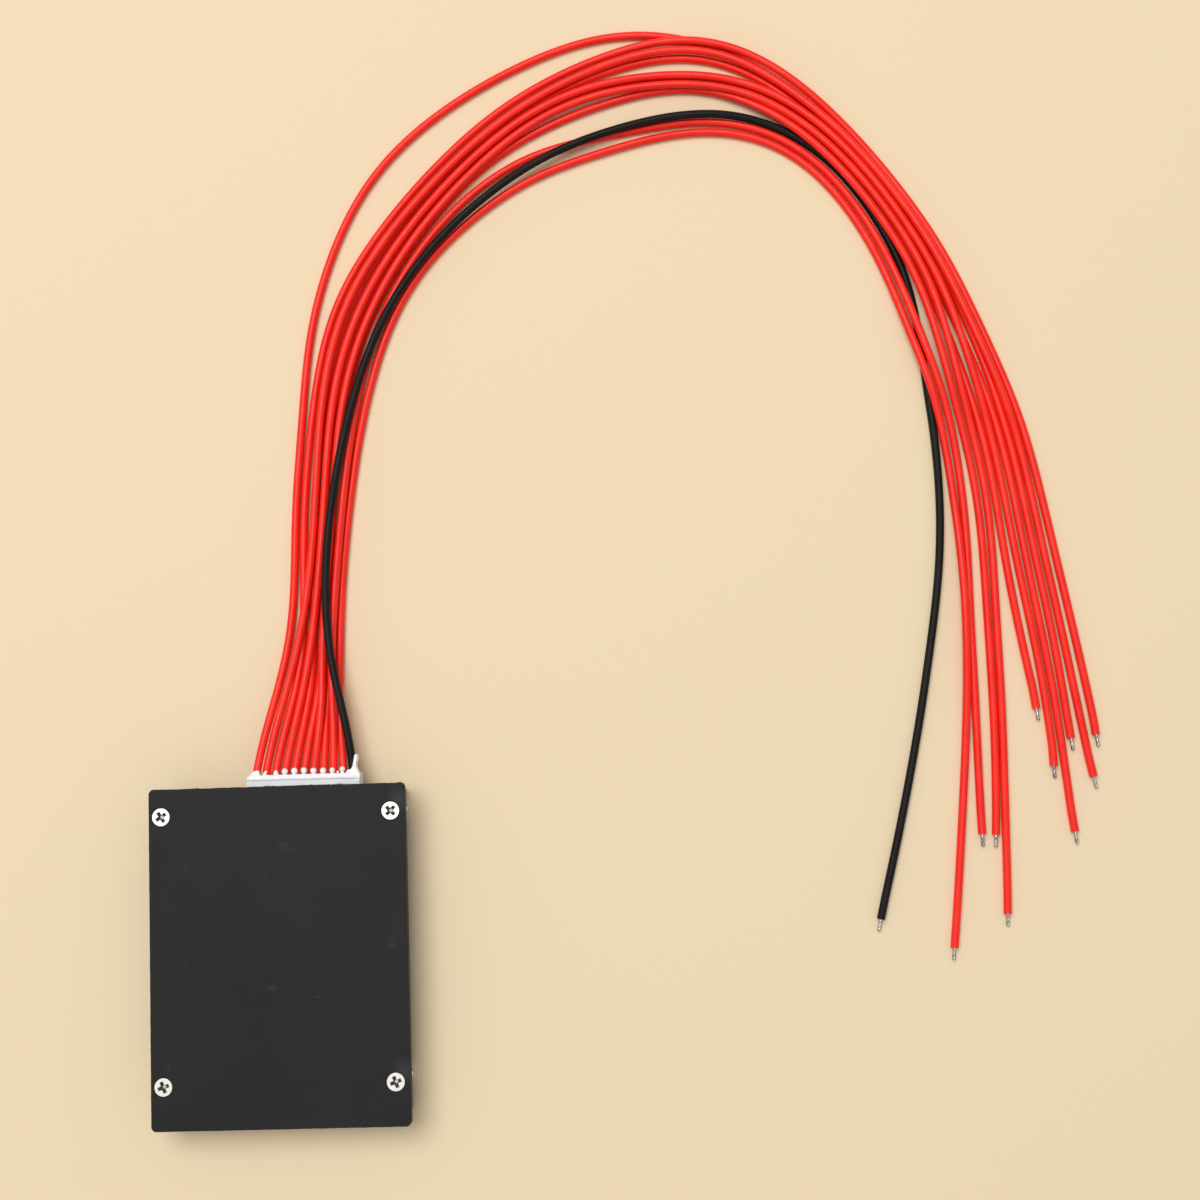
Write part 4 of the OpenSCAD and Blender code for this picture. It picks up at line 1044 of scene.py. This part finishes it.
@dataclass
class CoolingCover:
    """The coated aluminium plate on top, sawn to size and countersunk for the screws."""

    corner: float = 1.2
    edge_round: float = 0.16
    step: float = 0.45
    wander: float = 0.045
    far_wander: float = 0.11
    shank_hole: float = 2.2
    head_room: float = 0.2
    head_land: float = 0.2
    touch: float = 0.01
    nick_from: float = 0.34
    nick_share: float = 0.5

    def build(self, heads: Sequence[Box]) -> None:
        """Builds the plate.

        Args:
            heads: The box of each screw, in millimetres.
        """
        low, high = millimetres("cover_plate")
        shape = self.plate(low, high)
        self.roughen(shape, low, high)
        rims = {edge for edge in shape.sharp_edges(60)
                if abs((edge.verts[0].co - edge.verts[1].co).z) < (high.z - low.z) / 2}
        shape.bevel(rims, self.edge_round, 3)
        for head in heads:
            shape.cut_round(over(head), self.hole(head, low.z), 64)
        dishes = [tuple(over(head, high.z).translation) for head in heads]
        shape.finish("cooling_cover", CoverCoat().paint(dishes, high.z, high.y), Slot.COVER, "cover_plate")
        log.info("cooling cover: %d holes", len(heads))

    def plate(self, low: Vector, high: Vector) -> Shape:
        """A plate with round corners, whose long sides are divided into short steps."""
        shape = Shape()
        verts = bmesh.ops.create_grid(shape.mesh, x_segments=1, y_segments=1, size=0.5)["verts"]
        bmesh.ops.scale(shape.mesh, vec=(high.x - low.x, high.y - low.y, 1), verts=verts)
        middle = (low + high) / 2
        bmesh.ops.translate(shape.mesh, vec=(middle.x, middle.y, low.z), verts=verts)
        bmesh.ops.bevel(shape.mesh, geom=verts, offset=self.corner, offset_type="OFFSET", segments=7,
                        profile=0.5, affect="VERTICES", material=-1)
        for edge in list(shape.mesh.edges):
            length = edge.calc_length()
            if length > 5 * self.step:
                bmesh.ops.bisect_edges(shape.mesh, edges=[edge], cuts=int(length / self.step))
        shape.raised(shape.mesh.faces, high.z - low.z)
        return shape

    def roughen(self, shape: Shape, low: Vector, high: Vector) -> None:
        """Gives the plate's outline the small waves and nicks of a sawn edge."""
        for vert in shape.mesh.verts:
            place = Vector((vert.co.x, vert.co.y, vert.co.z * 0.4))
            far = vert.co.y > high.y - self.touch
            size = self.far_wander if far else self.wander
            shift = size * (noise.noise(place * 0.45) * 0.8 + noise.noise(place * 1.7) * 0.6)
            nick = noise.noise(place * 0.62 + Vector((7.3, 2.1, 0)))
            if far and nick > self.nick_from:
                shift -= self.nick_share * (nick - self.nick_from)
            inward = min(shift - size * 0.75, 0.0)
            if far or vert.co.y < low.y + self.touch:
                vert.co.y -= math.copysign(inward, vert.co.y)
            if vert.co.x > high.x - self.touch or vert.co.x < low.x + self.touch:
                vert.co.x -= math.copysign(inward, vert.co.x)

    def hole(self, head: Box, floor: float) -> Profile:
        """The half section of what a countersunk screw takes out of the plate."""
        top = head[1].z
        seat = top - self.head_land
        radius = half_width(head)
        bore = self.shank_hole / 2
        land = radius + self.head_room / 2
        return ((0, floor - 1), (bore + 0.15, floor - 1), (bore + 0.15, floor), (bore, floor + 0.15),
                (bore, seat - radius + bore), (radius, seat), (land, seat), (land, top - 0.05),
                (land + 0.25, top + 0.2), (0, top + 0.2))


@dataclass
class Fastening:
    """Countersunk cross-recess screws, turned spacer sleeves and hexagon nuts."""

    thread: float = 2.0
    head_land: float = 0.2
    rim_room: float = 0.05
    turns: tuple[float, ...] = (20.0, 20.0, 33.0, 45.0)
    arm: Point = (1.3, 0.39, 0.9)
    arm_taper: tuple[float, float] = (0.4, 0.66)
    arm_round: float = 0.09
    pit: Profile = ((0, -0.95), (0.3, -0.9), (0.5, -0.35), (0.58, 0.1), (0, 0.1))
    sleeve_room: float = 0.1
    sleeve_ease: float = 0.15
    nut_ease: float = 0.22
    bore_ease: float = 0.2

    def screw(self, box: Box, turn: float) -> Shape:
        """One screw, with its head's rim rounded and its cross recess sunk."""
        radius = half_width(box) - self.rim_room
        core = self.thread / 2
        top = box[1].z
        length = top - box[0].z
        shape = Shape()
        profile = [(0, -length), (core * 0.8, -length), (core, -length + 0.25)]
        profile += [(core, -self.head_land - radius + core), (radius, -self.head_land), (radius, -0.08),
                    (radius - 0.025, -0.03), (radius - 0.08, 0.0), (0, 0)]
        shape.turned(profile, 64)
        shape.combined(self.recess())
        place = over(box, top) @ Matrix.Rotation(math.radians(turn), 4, "Z")
        bmesh.ops.transform(shape.mesh, matrix=place, verts=shape.mesh.verts)
        return shape

    def recess(self) -> Shape:
        """A cross recess: four arms that narrow downwards round a small pit."""
        shape = Shape()
        reach, half, depth = self.arm
        for turn in (0.0, 90.0):
            arm = Shape()
            arm.block((-reach, -half, -depth), (reach, half, 0.1))
            for vert in arm.mesh.verts:
                if vert.co.z < 0:
                    vert.co.x *= self.arm_taper[0]
                    vert.co.y *= self.arm_taper[1]
            upright = {edge for edge in arm.mesh.edges
                       if abs(edge.verts[0].co.z - edge.verts[1].co.z) > depth / 2}
            arm.bevel(upright, self.arm_round)
            bmesh.ops.rotate(arm.mesh, cent=(0, 0, 0), matrix=Matrix.Rotation(math.radians(turn), 3, "Z"),
                             verts=arm.mesh.verts)
            if turn:
                shape.combined(arm, "UNION")
            else:
                shape = arm
        pit = Shape()
        pit.turned(self.pit, 32)
        shape.combined(pit, "UNION")
        return shape

    def nut(self, box: Box) -> Shape:
        """One hexagon nut with its corners turned down."""
        low, high = box
        middle = (low + high) / 2
        half = (high.z - low.z) / 2
        across = (high.y - low.y) / 2
        corner = across / math.cos(math.radians(30))
        shape = Shape()
        bmesh.ops.create_cone(shape.mesh, cap_ends=True, segments=6, radius1=corner, radius2=corner,
                              depth=2 * half, matrix=Matrix.Rotation(math.radians(30), 4, "Z"))
        turned = Shape()
        turned.turned(((0, -half), (across, -half), (corner, self.nut_ease - half),
                       (corner, half - self.nut_ease), (across, half), (0, half)), 72)
        shape.combined(turned, "INTERSECT")
        core = self.thread / 2
        ease = self.bore_ease
        shape.cut_round(Matrix(), ((0, -half - 1), (core + ease, -half - 1), (core + ease, -half),
                                   (core, ease - half), (core, half - ease), (core + ease, half),
                                   (core + ease, half + 1), (0, half + 1)), 48)
        bmesh.ops.translate(shape.mesh, vec=middle, verts=shape.mesh.verts)
        return shape

    def sleeve(self, box: Box) -> Shape:
        """One turned spacer sleeve with broken edges."""
        low, high = box
        outer = half_width(box)
        inner = self.thread / 2 + self.sleeve_room
        ease = self.sleeve_ease
        shape = Shape()
        with shape.placed(over(box)):
            shape.turned(((inner + ease, low.z), (outer - ease, low.z), (outer, low.z + ease),
                          (outer, high.z - ease), (outer - ease, high.z), (inner + ease, high.z),
                          (inner, high.z - ease), (inner, low.z + ease), (inner + ease, low.z)), 48)
        return shape

    def build(self) -> list[Box]:
        """Builds every screw, sleeve and nut.

        Returns:
            The box of each screw, in millimetres.
        """
        screws = solids("cover_screws")
        plating = BareMetal("bright_plating", (0.6, 0.6, 0.61), (0.5, 0.5, 0.52), 0.3, 0.2, 0.003).paint()
        brass = BareMetal("turned_brass", (0.78, 0.58, 0.27), (0.62, 0.44, 0.2), 0.3, 0.25, 0.008,
                          (0.02, 0.02, 1.0)).paint()
        tops = [tuple(over(box, box[1].z).translation) for box in screws]
        for label, node, slot, material, parts in (
                ("screw_set", "cover_screws", Slot.STEEL, DrivenHead().paint(tops, 1.35, 0.5),
                 [self.screw(box, turn) for box, turn in zip(screws, self.turns)]),
                ("nut_set", "screw_nuts", Slot.STEEL, plating,
                 [self.nut(box) for box in solids("screw_nuts")]),
                ("sleeve_set", "spacer_sleeves", Slot.SLEEVE, brass,
                 [self.sleeve(box) for box in solids("spacer_sleeves")])):
            united(parts).finish(label, material, slot, node, sharp=22)
            log.info("%s: %d", label, len(parts))
        return screws


def united(shapes: Sequence[Shape]) -> Shape:
    """Several shapes as one mesh of separate parts."""
    whole = Shape()
    for shape in shapes:
        shape.clean()
        data = bpy.data.meshes.new("part")
        shape.mesh.to_mesh(data)
        shape.mesh.free()
        whole.mesh.from_mesh(data)
        bpy.data.meshes.remove(data)
    return whole


# ---------------------------------------------------------------- board and its parts


@dataclass
class CircuitBoard:
    """The laminate with its tracks, lands and soldered joints."""

    joint_top: float = 0.34
    hollow: float = 2.2

    def build(self) -> None:
        """Dresses the laminate and builds what is soldered on its underside."""
        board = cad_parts["circuit_board"]
        board.data.materials.clear()
        board.data.materials.append(SolderMask().paint())
        solder = BareMetal("solder", (0.66, 0.67, 0.68), (0.52, 0.53, 0.55), 0.3, 0.5, 0.03).paint()
        softened("power_lands", 0.14, 3).finish("land_solder", solder, Slot.SOLDER, "power_lands")
        joints = [self.joint(box) for box in solids("pin_solder")]
        united(joints).finish("pin_joints", solder, Slot.SOLDER, "pin_solder", sharp=60)
        log.info("circuit board: %d soldered pins", len(joints))

    def joint(self, box: Box) -> Shape:
        """One hollow-sided cone of solder round a pin's leg."""
        low, high = box
        foot = half_width(box)
        tall = high.z - low.z
        shape = Shape()
        profile = [(0.0, high.z), (foot, high.z)]
        for part in (0.12, 0.3, 0.5, 0.7, 0.88, 1.0):
            radius = self.joint_top + (foot - self.joint_top) * (1 - part) ** self.hollow
            profile.append((radius, high.z - tall * part))
        profile.append((0.0, low.z))
        with shape.placed(over(box)):
            shape.turned(profile, 28)
        return shape


@dataclass
class PowerStage:
    """Two rows of power transistors, their tabs and leads, and the pad that couples them to the cover."""

    draft: float = 0.12
    tab_step: float = 1.3
    edge: float = 0.14
    mark_radius: float = 0.85
    mark_depth: float = 0.08
    mark_off: float = 1.8

    def body(self, box: Box, leads_up: bool) -> Shape:
        """One moulded transistor body with drafted sides, an ejector mark and a step over its tab."""
        low, high = box
        shape = Shape()
        shape.block(low, high)
        middle = (low + high) / 2
        for vert in shape.mesh.verts:
            if vert.co.z > middle.z:
                vert.co.x -= math.copysign(self.draft, vert.co.x - middle.x)
                vert.co.y -= math.copysign(self.draft, vert.co.y - middle.y)
        side, sign = (low.y, 1) if leads_up else (high.y, -1)
        step = Shape()
        ends = sorted((side - sign, side + sign * self.tab_step))
        step.block((low.x - 1, ends[0], low.z - 1), (high.x + 1, ends[1], low.z + self.tab_step))
        shape.combined(step)
        shape.bevel(shape.sharp_edges(), self.edge)
        place = Matrix.Translation((middle.x, middle.y + sign * self.mark_off, high.z))
        shape.cut_round(place, peg(self.mark_radius, -self.mark_depth, 0.5), 32)
        return shape

    def build(self) -> None:
        """Builds the transistors and the pad."""
        epoxy = Moulding("epoxy", (0.016, 0.016, 0.017), (0.024, 0.024, 0.025), 0.55, 0.09, 0.008).paint()
        boxes = solids("power_transistors")
        middle = sum(low.y + high.y for low, high in boxes) / (2 * len(boxes))
        bodies = [self.body(box, box[0].y < middle) for box in boxes]
        united(bodies).finish("transistor_bodies", epoxy, Slot.MOULDED, "power_transistors")
        tin = BareMetal("matt_tin", (0.68, 0.68, 0.68), (0.55, 0.55, 0.56), 0.42, 0.06, 0.004).paint()
        for node, name in (("transistor_tabs", "tab_set"), ("transistor_leads", "lead_set")):
            softened(node, 0.07).finish(name, tin, Slot.TIN, node)
        pad = Moulding("thermal_pad", (0.2, 0.23, 0.27), (0.24, 0.27, 0.31), 0.75, 0.2, 0.02, 4).paint()
        softened("thermal_pad", 0.22, 3).finish("pad", pad, Slot.PAD, "thermal_pad")
        log.info("power stage: %d transistors", len(bodies))


@dataclass
class ChipParts:
    """The two-ended chip parts: shunts, resistors and capacitors, each a body between tinned ends."""

    node: str
    name: str
    slot: Slot
    finish: Moulding
    cap: float
    lengthwise: int
    inset: float = 0.03
    ease: float = 0.07

    def build(self, tin: Material) -> None:
        """Builds the bodies and their ends as two pieces.

        Args:
            tin: The finish of the ends.
        """
        bodies, ends = Shape(), Shape()
        boxes = solids(self.node)
        inset = Vector((self.inset, self.inset, 0))
        inset[self.lengthwise] = self.cap
        lift = Vector((0, 0, self.inset))
        for low, high in boxes:
            bodies.block(low + inset + lift, high - inset - lift, self.ease * 0.5)
            near, far = high.copy(), low.copy()
            near[self.lengthwise] = low[self.lengthwise] + self.cap
            far[self.lengthwise] = high[self.lengthwise] - self.cap
            ends.block(low, near, self.ease)
            ends.block(far, high, self.ease)
        bodies.finish(self.name + "_bodies", self.finish.paint(), self.slot, self.node)
        ends.finish(self.name + "_ends", tin, Slot.TIN, self.node)
        log.info("%s: %d", self.name, len(boxes))


@dataclass
class SmallParts:
    """Everything small that stands on the board between the transistors and the socket."""

    dimple: float = 0.35
    dimple_depth: float = 0.06
    dimple_in: float = 0.9

    def build(self) -> None:
        """Builds the chip parts, the bleed transistors and the monitor chip."""
        tin = BareMetal("bright_tin", (0.72, 0.72, 0.72), (0.6, 0.6, 0.61), 0.34, 0.05, 0.004).paint()
        black = Moulding("small_epoxy", (0.016, 0.016, 0.017), (0.023, 0.023, 0.024), 0.5, 0.05,
                         0.004).paint()
        for parts in (
                ChipParts("current_shunts", "shunts", Slot.SHUNT,
                          Moulding("shunt_coat", (0.02, 0.022, 0.02), (0.028, 0.03, 0.028), 0.45), 1.3, 0),
                ChipParts("bleed_resistors", "bleed_resistors", Slot.RESISTOR,
                          Moulding("resistor_glaze", (0.014, 0.014, 0.015), (0.02, 0.02, 0.02), 0.3), 0.5, 1),
                ChipParts("ceramic_capacitors", "capacitors", Slot.CAPACITOR,
                          Moulding("ceramic", (0.33, 0.2, 0.1), (0.26, 0.15, 0.075), 0.4), 0.45, 1)):
            parts.build(tin)
        softened("bleed_transistors", 0.09).finish("bleed_transistor_bodies", black, Slot.MOULDED,
                                                   "bleed_transistors")
        for node, name in (("bleed_leads", "bleed_lead_set"), ("monitor_leads", "chip_leads")):
            softened(node, 0.02, 1).finish(name, tin, Slot.TIN, node)
        self.chip(black)
        log.info("small parts done")

    def chip(self, material: Material) -> None:
        """The monitor chip, with its first-pin dimple."""
        low, high = millimetres("monitor_chip")
        shape = Shape()
        shape.block(low, high, 0.12)
        place = Matrix.Translation((low.x + self.dimple_in, low.y + self.dimple_in, high.z))
        shape.cut_round(place, peg(self.dimple, -self.dimple_depth, 0.3), 24)
        shape.finish("chip_body", material, Slot.MOULDED, "monitor_chip")


# ---------------------------------------------------------------- socket, plug and adhesive


@dataclass
class WireConnector:
    """The board's wire socket with its pins, and the plug with its crimped contacts."""

    def build(self) -> None:
        """Rounds and dresses the four moulded and stamped parts."""
        natural = Moulding("natural_nylon", (0.74, 0.72, 0.66), (0.68, 0.66, 0.6), 0.42, 0.15, 0.01, 3,
                           0.15)
        pale = Moulding("plug_nylon", (0.78, 0.79, 0.8), (0.72, 0.73, 0.74), 0.4, 0.15, 0.012, 3, 0.15)
        tin = BareMetal("pin_tin", (0.74, 0.73, 0.7), (0.6, 0.59, 0.56), 0.28, 0.06, 0.004)
        brass = BareMetal("contact_metal", (0.7, 0.56, 0.32), (0.6, 0.5, 0.33), 0.33, 0.08, 0.006)
        for node, name, slot, finish, width in (
                ("wire_socket", "socket_body", Slot.SOCKET, natural, 0.12),
                ("socket_pins", "pin_set", Slot.TIN, tin, 0.06),
                ("plug_housing", "plug_body", Slot.PLUG, pale, 0.14),
                ("plug_contacts", "contact_set", Slot.CONTACT, brass, 0.05)):
            softened(node, width).finish(name, finish.paint(), slot, node)
        log.info("wire connector done")


# Silicone that came out as flat pieces: lowest and highest z, then the outline as x and as y from the
# cover's edge. First the lap over the plug's top and the bar across its end, then what was squeezed along
# the first three wires: a slanted end, a hook and a rounded finger.
BAR_AND_FINGERS = (
    (7.72, 8.06, ((-6.75, 1.15), (17.0, 1.05), (17.05, 1.9), (-6.1, 1.9))),
    (4.6, 7.9, ((-6.6, 1.86), (16.95, 1.86), (16.9, 2.2), (-5.9, 2.2))),
    (4.1, 7.5, ((-6.6, 1.86), (16.9, 1.86), (16.6, 2.05), (-6.1, 2.05))),
    (5.9, 7.3, ((-6.5, 1.9), (-5.37, 3.0), (-4.7, 3.2), (-4.25, 3.15), (-4.05, 2.4), (-3.9, 2.0))),
    (6.2, 7.25, ((-3.55, 2.0), (-3.3, 2.6), (-2.95, 3.05), (-2.5, 3.1), (-2.5, 2.8), (-2.75, 2.5),
                 (-2.4, 2.0))),
    (6.2, 7.25, ((-1.2, 2.0), (-1.08, 2.8), (-0.85, 3.15), (-0.5, 3.15), (-0.3, 2.8), (-0.15, 2.0))),
)
# The torn fin beside the last wire, in the same way.
TORN_FIN = (
    (5.2, 7.0, ((13.9, 2.1), (14.1, 2.75), (14.9, 2.95), (15.25, 3.45), (15.5, 4.6), (15.68, 5.75),
                (16.0, 6.05), (16.3, 5.7), (16.38, 4.9), (16.1, 4.3), (16.15, 3.1), (16.65, 2.2),
                (16.95, 1.4), (16.9, 0.9), (15.2, 1.3))),
    (5.6, 7.95, ((15.9, 0.35), (16.85, 0.3), (17.0, 1.6), (16.4, 2.4), (15.4, 2.3))),
)


@dataclass
class Adhesive:
    """The bead of silicone behind the plug, with fingers, drops and a torn fin between the wires."""

    edge_y: float = 34.5
    wire_z: float = 5.6
    wire_radius: float = 0.9
    voxel: float = 0.085
    smoothings: int = 4
    lumps: tuple[tuple[float, float], ...] = ((0.035, 1.9), (0.015, 5.1))
    drops: tuple[tuple[float, float, float], ...] = (
        (1.1, 2.87, 0.68), (3.1, 2.88, 0.71), (5.1, 2.95, 0.68), (7.1, 2.84, 0.67), (9.1, 2.8, 0.68),
        (11.02, 2.86, 0.58), (12.2, 2.5, 0.28), (13.1, 3.02, 0.58))

    def build(self, wires: SenseWires) -> None:
        """Builds the bead.

        Args:
            wires: The wires that run through it.
        """
        shape = Shape()
        for piece in BAR_AND_FINGERS:
            self.slab(shape, *piece)
        for x, y, radius in self.drops:
            self.ball(shape, (x, self.edge_y + y, self.wire_z + 1.0), (radius, radius * 0.95, 0.62))
        self.necks(shape)
        for piece in TORN_FIN:
            self.slab(shape, *piece)
        shape.through("REMESH", mode="VOXEL", voxel_size=self.voxel)
        for _ in range(self.smoothings):
            bmesh.ops.smooth_vert(shape.mesh, verts=shape.mesh.verts, factor=0.5, use_axis_x=True,
                                  use_axis_y=True, use_axis_z=True)
        for vert in shape.mesh.verts:
            swell = sum(height * noise.noise(vert.co * pace) for height, pace in self.lumps)
            vert.co += vert.normal * swell
        lying = Matrix.Rotation(math.radians(-90), 4, "X")
        for number in range(len(ROUTES)):
            place = Matrix.Translation((wires.exit_x(number), wires.exit_y - 0.06, self.wire_z)) @ lying
            shape.cut_round(place, peg(self.wire_radius, 0, 5), 32)
        shape.finish("glue_bead", Silicone().paint(), Slot.ADHESIVE, "adhesive_bead", sharp=50)
        log.info("adhesive: %d drops", len(self.drops))

    def ball(self, shape: Shape, centre: Point, radii: Point) -> None:
        """Adds one lump."""
        matrix = Matrix.Translation(centre) @ Matrix.Diagonal((*radii, 1.0))
        bmesh.ops.create_icosphere(shape.mesh, subdivisions=3, radius=1.0, matrix=matrix)

    def slab(self, shape: Shape, low: float, high: float, outline: Profile) -> None:
        """Adds a flat slab between two heights, from an outline of x and of y from the cover's edge."""
        verts = [shape.mesh.verts.new((x, self.edge_y + y, low)) for x, y in outline]
        shape.raised([shape.mesh.faces.new(verts)], high - low)

    def necks(self, shape: Shape) -> None:
        """The thin strands between the bar and the drops."""
        for x, y, radius in self.drops:
            width = 0.34 if radius > 0.55 else 0.22
            self.slab(shape, 6.35, 6.85, ((x - width, 1.9), (x + width, 1.9), (x + width * 0.7, y),
                                          (x - width * 0.7, y)))


# ---------------------------------------------------------------- stage


@dataclass
class Studio:
    """Camera, plain pale floor, one wide soft lamp overhead and even light all round."""

    eye: Point = (80.4, 42.1, 351.1)
    aim: Point = (67.33, 71.31, 0.0)
    up: Point = (0.0342, 0.9961, 0.0816)
    lens: float = 50.0
    sensor: float = 36.0
    floor_colour: Colour = (0.83, 0.672, 0.452)
    floor_half: float = 3000.0
    floor_middle: Point = (70.0, 70.0, 0.0)
    backdrop: Colour = (0.9, 0.87, 0.8)
    sky: float = 0.49
    lamp_watts: float = 16.4
    lamp_size: float = 1.1
    lamp_at: Point = (-0.25, 0.55, 1.45)
    lamp_aim: Point = (0.07, 0.07, 0.0)

    def camera(self) -> None:
        """Places the camera."""
        back = (Vector(self.eye) - Vector(self.aim)).normalized()
        right = Vector(self.up).cross(back).normalized()
        upward = back.cross(right)
        data = bpy.data.cameras.new("camera")
        data.lens = self.lens
        data.sensor_width = self.sensor
        data.clip_start = 0.01
        data.clip_end = 50
        camera = linked("camera", data)
        turn = Matrix((right, upward, back)).transposed().to_4x4()
        camera.matrix_world = Matrix.Translation(Vector(self.eye) * MM) @ turn
        bpy.context.scene.camera = camera
        bpy.context.scene.view_settings.view_transform = "Standard"

    def floor(self) -> None:
        """Lays the floor."""
        shape = Shape()
        bmesh.ops.create_grid(shape.mesh, x_segments=1, y_segments=1, size=self.floor_half)
        bmesh.ops.translate(shape.mesh, vec=self.floor_middle, verts=shape.mesh.verts)
        shape.sized(MM)
        plane = shape.as_object("floor")
        paint = Paint("floor", self.floor_colour, 0.85, specular=0.2)
        plane.data.materials.append(paint.material)

    def lamps(self) -> None:
        """Hangs the lamp and sets the world's light and backdrop."""
        data = bpy.data.lights.new("overhead", "AREA")
        data.shape = "DISK"
        data.size = self.lamp_size
        data.energy = self.lamp_watts
        place = Vector(self.lamp_at)
        turn = (place - Vector(self.lamp_aim)).to_track_quat("Z", "Y").to_matrix().to_4x4()
        linked("overhead", data).matrix_world = Matrix.Translation(place) @ turn
        world = bpy.data.worlds.new("studio")
        bpy.context.scene.world = world
        world.use_nodes = True
        nodes, links = world.node_tree.nodes, world.node_tree.links
        even = nodes["Background"]
        even.inputs["Color"].default_value = (1.0, 1.0, 1.0, 1.0)
        even.inputs["Strength"].default_value = self.sky
        shown = nodes.new("ShaderNodeBackground")
        shown.inputs["Color"].default_value = (*self.backdrop, 1.0)
        path = nodes.new("ShaderNodeLightPath")
        choose = nodes.new("ShaderNodeMixShader")
        seen = path.outputs["Is Camera Ray"]
        for ray in ("Is Glossy Ray", "Is Transmission Ray"):
            either = nodes.new("ShaderNodeMath")
            either.operation = "MAXIMUM"
            links.new(seen, either.inputs[0])
            links.new(path.outputs[ray], either.inputs[1])
            seen = either.outputs["Value"]
        links.new(seen, choose.inputs["Fac"])
        links.new(even.outputs["Background"], choose.inputs[1])
        links.new(shown.outputs["Background"], choose.inputs[2])
        links.new(choose.outputs["Shader"], nodes["World Output"].inputs["Surface"])


def main() -> None:
    """Builds the scene in order."""
    studio = Studio()
    studio.camera()
    wires = SenseWires()
    wires.build()
    screws = Fastening().build()
    CoolingCover().build(screws)
    CircuitBoard().build()
    PowerStage().build()
    SmallParts().build()
    WireConnector().build()
    Adhesive().build(wires)
    studio.floor()
    studio.lamps()


if __name__ == "__main__":
    main()
